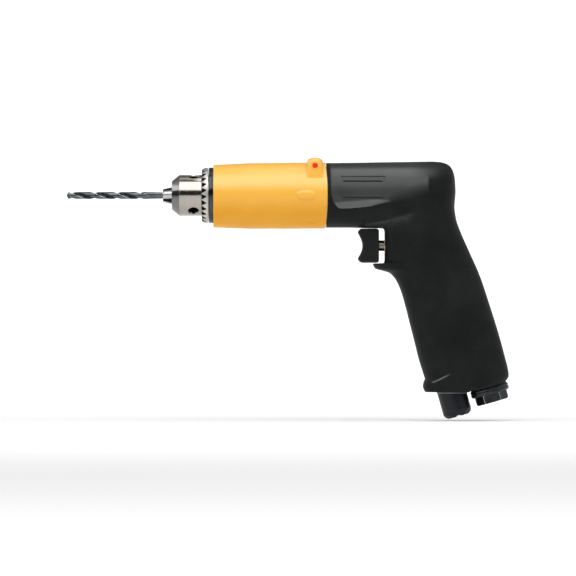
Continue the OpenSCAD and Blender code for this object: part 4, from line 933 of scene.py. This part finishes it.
def buildInlet():
    # flange turned as rings, then a six-sided section with flattened corners, and the threaded bore
    angle = fullTurn(ports.inletSides)
    rings = softLine(ports.flange, ports.flangeRound, 4)
    hexagon, mouth = np.array(ports.hexagon), np.array(ports.mouth)
    sixth = math.pi / 6
    fold = (angle - quarter + sixth) % (2 * sixth) - sixth
    corner = ports.hexFlats / math.cos(sixth)
    sides = np.minimum(ports.hexFlats / np.cos(fold), corner - ports.cornerFlat)
    evenly = np.ones((1, ports.inletSides))
    along = np.concatenate([rings[:, :1], hexagon[:, :1], mouth[:, :1]])
    radius = np.concatenate([rings[:, 1:] * evenly, np.minimum(sides, corner - hexagon[:, 1:]),
                             mouth[:, 1:] * evenly])
    # painted highlights: the hexagon's corners, its foot, and the rims of the flange
    rims = ports.rimShine * (rings[:, 1:] > ports.rimFrom) * evenly
    corners = np.exp(-((np.abs(fold) - sixth) / ports.cornerWide) ** 2) * np.ones((len(hexagon), 1))
    corners[0] = ports.footShine
    edge = np.concatenate([rims, corners, np.zeros((len(mouth), ports.inletSides))])
    points = aroundPort(ports.inletStart, along, radius, angle)
    thing = newPiece("airInlet", [points], {"edge": edge}, rowsClosed=True)
    settle(thing, "root", "inlet_steel", ["inlet_bushing"], sharp=25)


def buildSilencer():
    # plug with a thin collar and a lobed, rounded end; each column starts where it meets the level foot
    angle = fullTurn(ports.silencerSides)
    lean, size = drill.gripLean, ports.silencerRadius
    drop = ports.silencerStart[1] - (housing.footLevel - ports.seatGap)
    top = (drop + size * np.cos(angle) * math.sin(lean)) / math.cos(lean)
    bend = np.linspace(0, quarter, ports.silencerRows)[:, None]
    endAt = ports.silencerLength - ports.silencerRound
    collar = np.array([0.0, ports.collarHigh, ports.collarHigh + ports.collarFall])[:, None]
    wallTop = top + collar[-1]
    share = np.linspace(0.1, 1, ports.silencerRows)[:, None]
    wall = np.concatenate([top + collar, wallTop + (endAt - wallTop) * share])
    wallRadius = np.full(wall.shape, size)
    wallRadius[:2] += ports.collarOut
    lobes = ports.lobeDepth * np.cos(ports.lobes * angle)
    roundAlong = endAt + (ports.silencerRound + lobes - ports.lobeDepth) * np.sin(bend)
    roundRadius = size - ports.silencerRound * (1 - np.cos(bend)) + 0 * angle
    along = np.concatenate([wall, roundAlong, np.full(angle.shape, ports.silencerLength - ports.endDish)])
    radius = np.concatenate([wallRadius, roundRadius, np.zeros(angle.shape)])
    side = aroundPort(ports.silencerStart, along, radius, angle)
    lid = side[:1].mean(1, keepdims=True) + 0 * side[:1]
    points = np.concatenate([lid, side])
    edge = np.zeros(points.shape[:2])
    edge[1:4] = np.array(ports.collarShine)[:, None]
    thing = newPiece("exhaustPlug", [points], {"edge": edge})
    settle(thing, "root", "silencer_plastic", ["exhaust_silencer"])


buildInlet()
buildSilencer()
print("ports done")


spring = Values(radius=3.6, wire=0.35, turns=7, closedTurns=1.0, closedPitch=2.1, travel=2.5, around=10,
                perTurn=36)


def buildSpring():
    # wire wound round the valve's axis between its CAD node's ends, with a closed turn at each end
    low, high = (np.array(corner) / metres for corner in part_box("valve_spring"))
    turns, closed, wire = spring.turns, spring.closedTurns, spring.wire
    share = np.linspace(0, turns, turns * spring.perTurn + 1)
    share = np.concatenate([share[:1], share, share[-1:]])[:, None]
    first, last = low[0] + wire, high[0] - wire
    pitch = closed * spring.closedPitch * wire
    x = np.interp(share, [0, closed, turns - closed, turns], [first, first + pitch, last - pitch, last])
    size = np.full(share.shape, wire)
    size[[0, -1]] = 0
    around, wind = fullTurn(spring.around), share * turn
    radius = spring.radius + size * np.cos(around)
    points = np.stack([x + size * np.sin(around), radius * np.sin(wind),
                       housing.valveHeight - radius * np.cos(wind)], -1)
    thing = newPiece("valveSpring", [points])
    settle(thing, "root", "inner_steel", ["valve_spring"])
    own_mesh(thing)


buildSpring()
print("valve spring done")


# Finishes of the nodes that stay as they are; the rest are inner steel
nodeFinishes = {
    "case_alloy": ["gear_case", "front_end_plate", "rear_end_plate"],
    "rubber": ["case_gasket", "spindle_seal", "bush_ring", "inlet_ring"],
    "brass": ["valve_bush", "valve_seat", "valve_poppet", "inlet_strainer"],
    "vane_laminate": ["rotor_vanes"], "felt": ["silencer_felt"], "jaw_steel": ["chuck_nut"],
    "plunger": ["trigger_plunger"],
}
finishOf = {nodeName: finish for finish, names in nodeFinishes.items() for nodeName in names}
for nodeName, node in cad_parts.items():
    if not node.hide_render:
        node.data.materials.clear()
        node.data.materials.append(finishes[finishOf.get(nodeName, "inner_steel")])
print("inner nodes finished")


studio = Values(
    floorZ=-0.0672, floorFront=-24.0, floorRows=20, backAt=2.0, backGap=0.1, backRound=0.5, backRows=24,
    wallTop=0.55, wide=3.0, columns=12,
    # the sheet's paper, and its glow, which rises from the floor's to the wall's between these depths
    paper=(0.8, 0.83), paperScale=60.0, paperRough=0.9, floorGlow=0.12, wallGlow=0.62,
    glowBack=(0.0, 0.8), glowFront=(-0.7, -2.2),
    lens=500.0, sensor=36.0, frameWide=0.32, aimX=-0.0872, aimZ=0.0066,
    # brightness of the air round the spindle, by degrees up from the viewer's side: a dark gap in front,
    # a thin dark line overhead and dim air behind
    bands=[(-180, 0.42), (-26, 0.42), (-23, 0.02), (33, 0.02), (36, 0.66), (80, 0.66), (82, 0.02),
           (92, 0.02), (95, 0.2), (150, 0.2), (172, 0.4)],
    air=0.62, bandEdge=(0.7, 0.4),
    # ahead of the nose: limits along x and two along z, as parts of a unit direction
    noseGap=[(-0.84, -0.92), (0.34, 0.28), (-0.1, 0.0)], gapColour=(0.05, 0.05, 0.055),
    noseLight=[(-0.66, -0.74), (0.3, 0.35), (0.58, 0.52)], noseGlow=2.6,
    # softboxes, in metres and watts: place, aim, width, height and power
    boxes={
        "topFrontBox": ((-0.1, -0.55, 0.85), (-0.09, 0.0, 0.03), 1.3, 1.0, 8.1),
        "topBox": ((-0.1, 0.35, 1.1), (-0.09, 0.0, 0.03), 1.2, 0.4, 0.7),
        "rearTopBox": ((0.53, 0.15, 1.1), (0.53, 0.0, 0.06), 1.23, 0.4, 3.2),
    },
)


def buildStudio():
    # a pale sheet that runs back as the floor and curves up into the wall
    bend = np.linspace(0, quarter, studio.backRows)
    y = np.concatenate([np.linspace(studio.floorFront, studio.backAt - studio.backGap, studio.floorRows),
                        studio.backAt + studio.backRound * np.sin(bend), [studio.backAt + studio.backRound]])
    z = studio.floorZ + np.concatenate([np.zeros(studio.floorRows), studio.backRound * (1 - np.cos(bend)),
                                        [studio.wallTop]])
    x = np.linspace(-studio.wide, studio.wide, studio.columns)[:, None]
    points = np.stack(np.broadcast_arrays(x, y[None], z[None]), -1) / metres
    sheet = newPiece("paleSheet", [points], columnsClosed=False)
    sheet.data.shade_smooth()
    material, shader, wire = newFinish("palePaper")
    paper = noise(wire, studio.paperScale)
    depth = axisOf(wire, objectPlace(wire), 1)
    ends = ramp(wire, depth, *studio.glowBack) + ramp(wire, depth, *studio.glowFront)
    feed(wire, shader, colour=mixColour(wire, paper, grey(studio.paper[0]), grey(studio.paper[1])),
         rough=studio.paperRough, glowStrength=1.0,
         glow=mixColour(wire, ends, grey(studio.floorGlow), grey(studio.wallGlow)))
    sheet.data.materials.append(material)


def buildAir():
    # pale air all round; near the plane across the spindle it follows the bands, and ahead of the nose
    # there is a low dark gap with a light above it
    world = bpy.data.worlds.new("studioAir")
    world.use_nodes = True
    wire = Wire(world.node_tree)
    way = wire.make("ShaderNodeTexCoord", {}, {}, out=0)
    x, y, z = (axisOf(wire, way, axis) for axis in range(3))
    upward = wire.math("ARCTAN2", z, 0 - y) / turn + 0.5
    stops = [(degrees / 360 + 0.5, grey(value)) for degrees, value in studio.bands]
    bands = wire.make("ShaderNodeValToRGB", {"stops": stops}, {0: upward})
    colour = grey(studio.air)
    for limits, inside in ((studio.noseGap, studio.gapColour), (studio.noseLight, grey(studio.noseGlow))):
        spot = ramp(wire, x, *limits[0]) * ramp(wire, z, *limits[1]) * ramp(wire, z, *limits[2])
        colour = mixColour(wire, spot, colour, inside)
    colour = shades(wire, wire.math("ABSOLUTE", x), *studio.bandEdge, colour, bands)
    wire.plug(colour, world.node_tree.nodes["Background"].inputs[0])
    bpy.context.scene.world = world


def softbox(name, place, aim, wide, high, power):
    light = bpy.data.lights.new(name, "AREA")
    light.shape = "RECTANGLE"
    light.size, light.size_y, light.energy = wide, high, power
    lamp = bpy.data.objects.new(name, light)
    bpy.context.scene.collection.objects.link(lamp)
    lamp.location = place
    direction = np.array(aim) - np.array(place)
    flat = math.hypot(direction[0], direction[1])
    lamp.rotation_euler = (quarter + math.atan2(direction[2], flat), 0,
                           math.atan2(direction[1], direction[0]) - quarter)


def buildCamera():
    # looks level at the drill's near side, as far away as the lens needs for the frame's width
    camera = bpy.data.cameras.new("sideCamera")
    camera.lens = studio.lens
    camera.sensor_width = studio.sensor
    viewer = bpy.data.objects.new("sideCamera", camera)
    bpy.context.scene.collection.objects.link(viewer)
    viewer.location = (studio.aimX, -studio.frameWide * studio.lens / studio.sensor, studio.aimZ)
    viewer.rotation_euler = (quarter, 0, 0)
    bpy.context.scene.camera = viewer


buildStudio()
buildAir()
for boxName, box in studio.boxes.items():
    softbox(boxName, *box)
bpy.context.scene.view_settings.view_transform = "Standard"
buildCamera()
print("studio done")
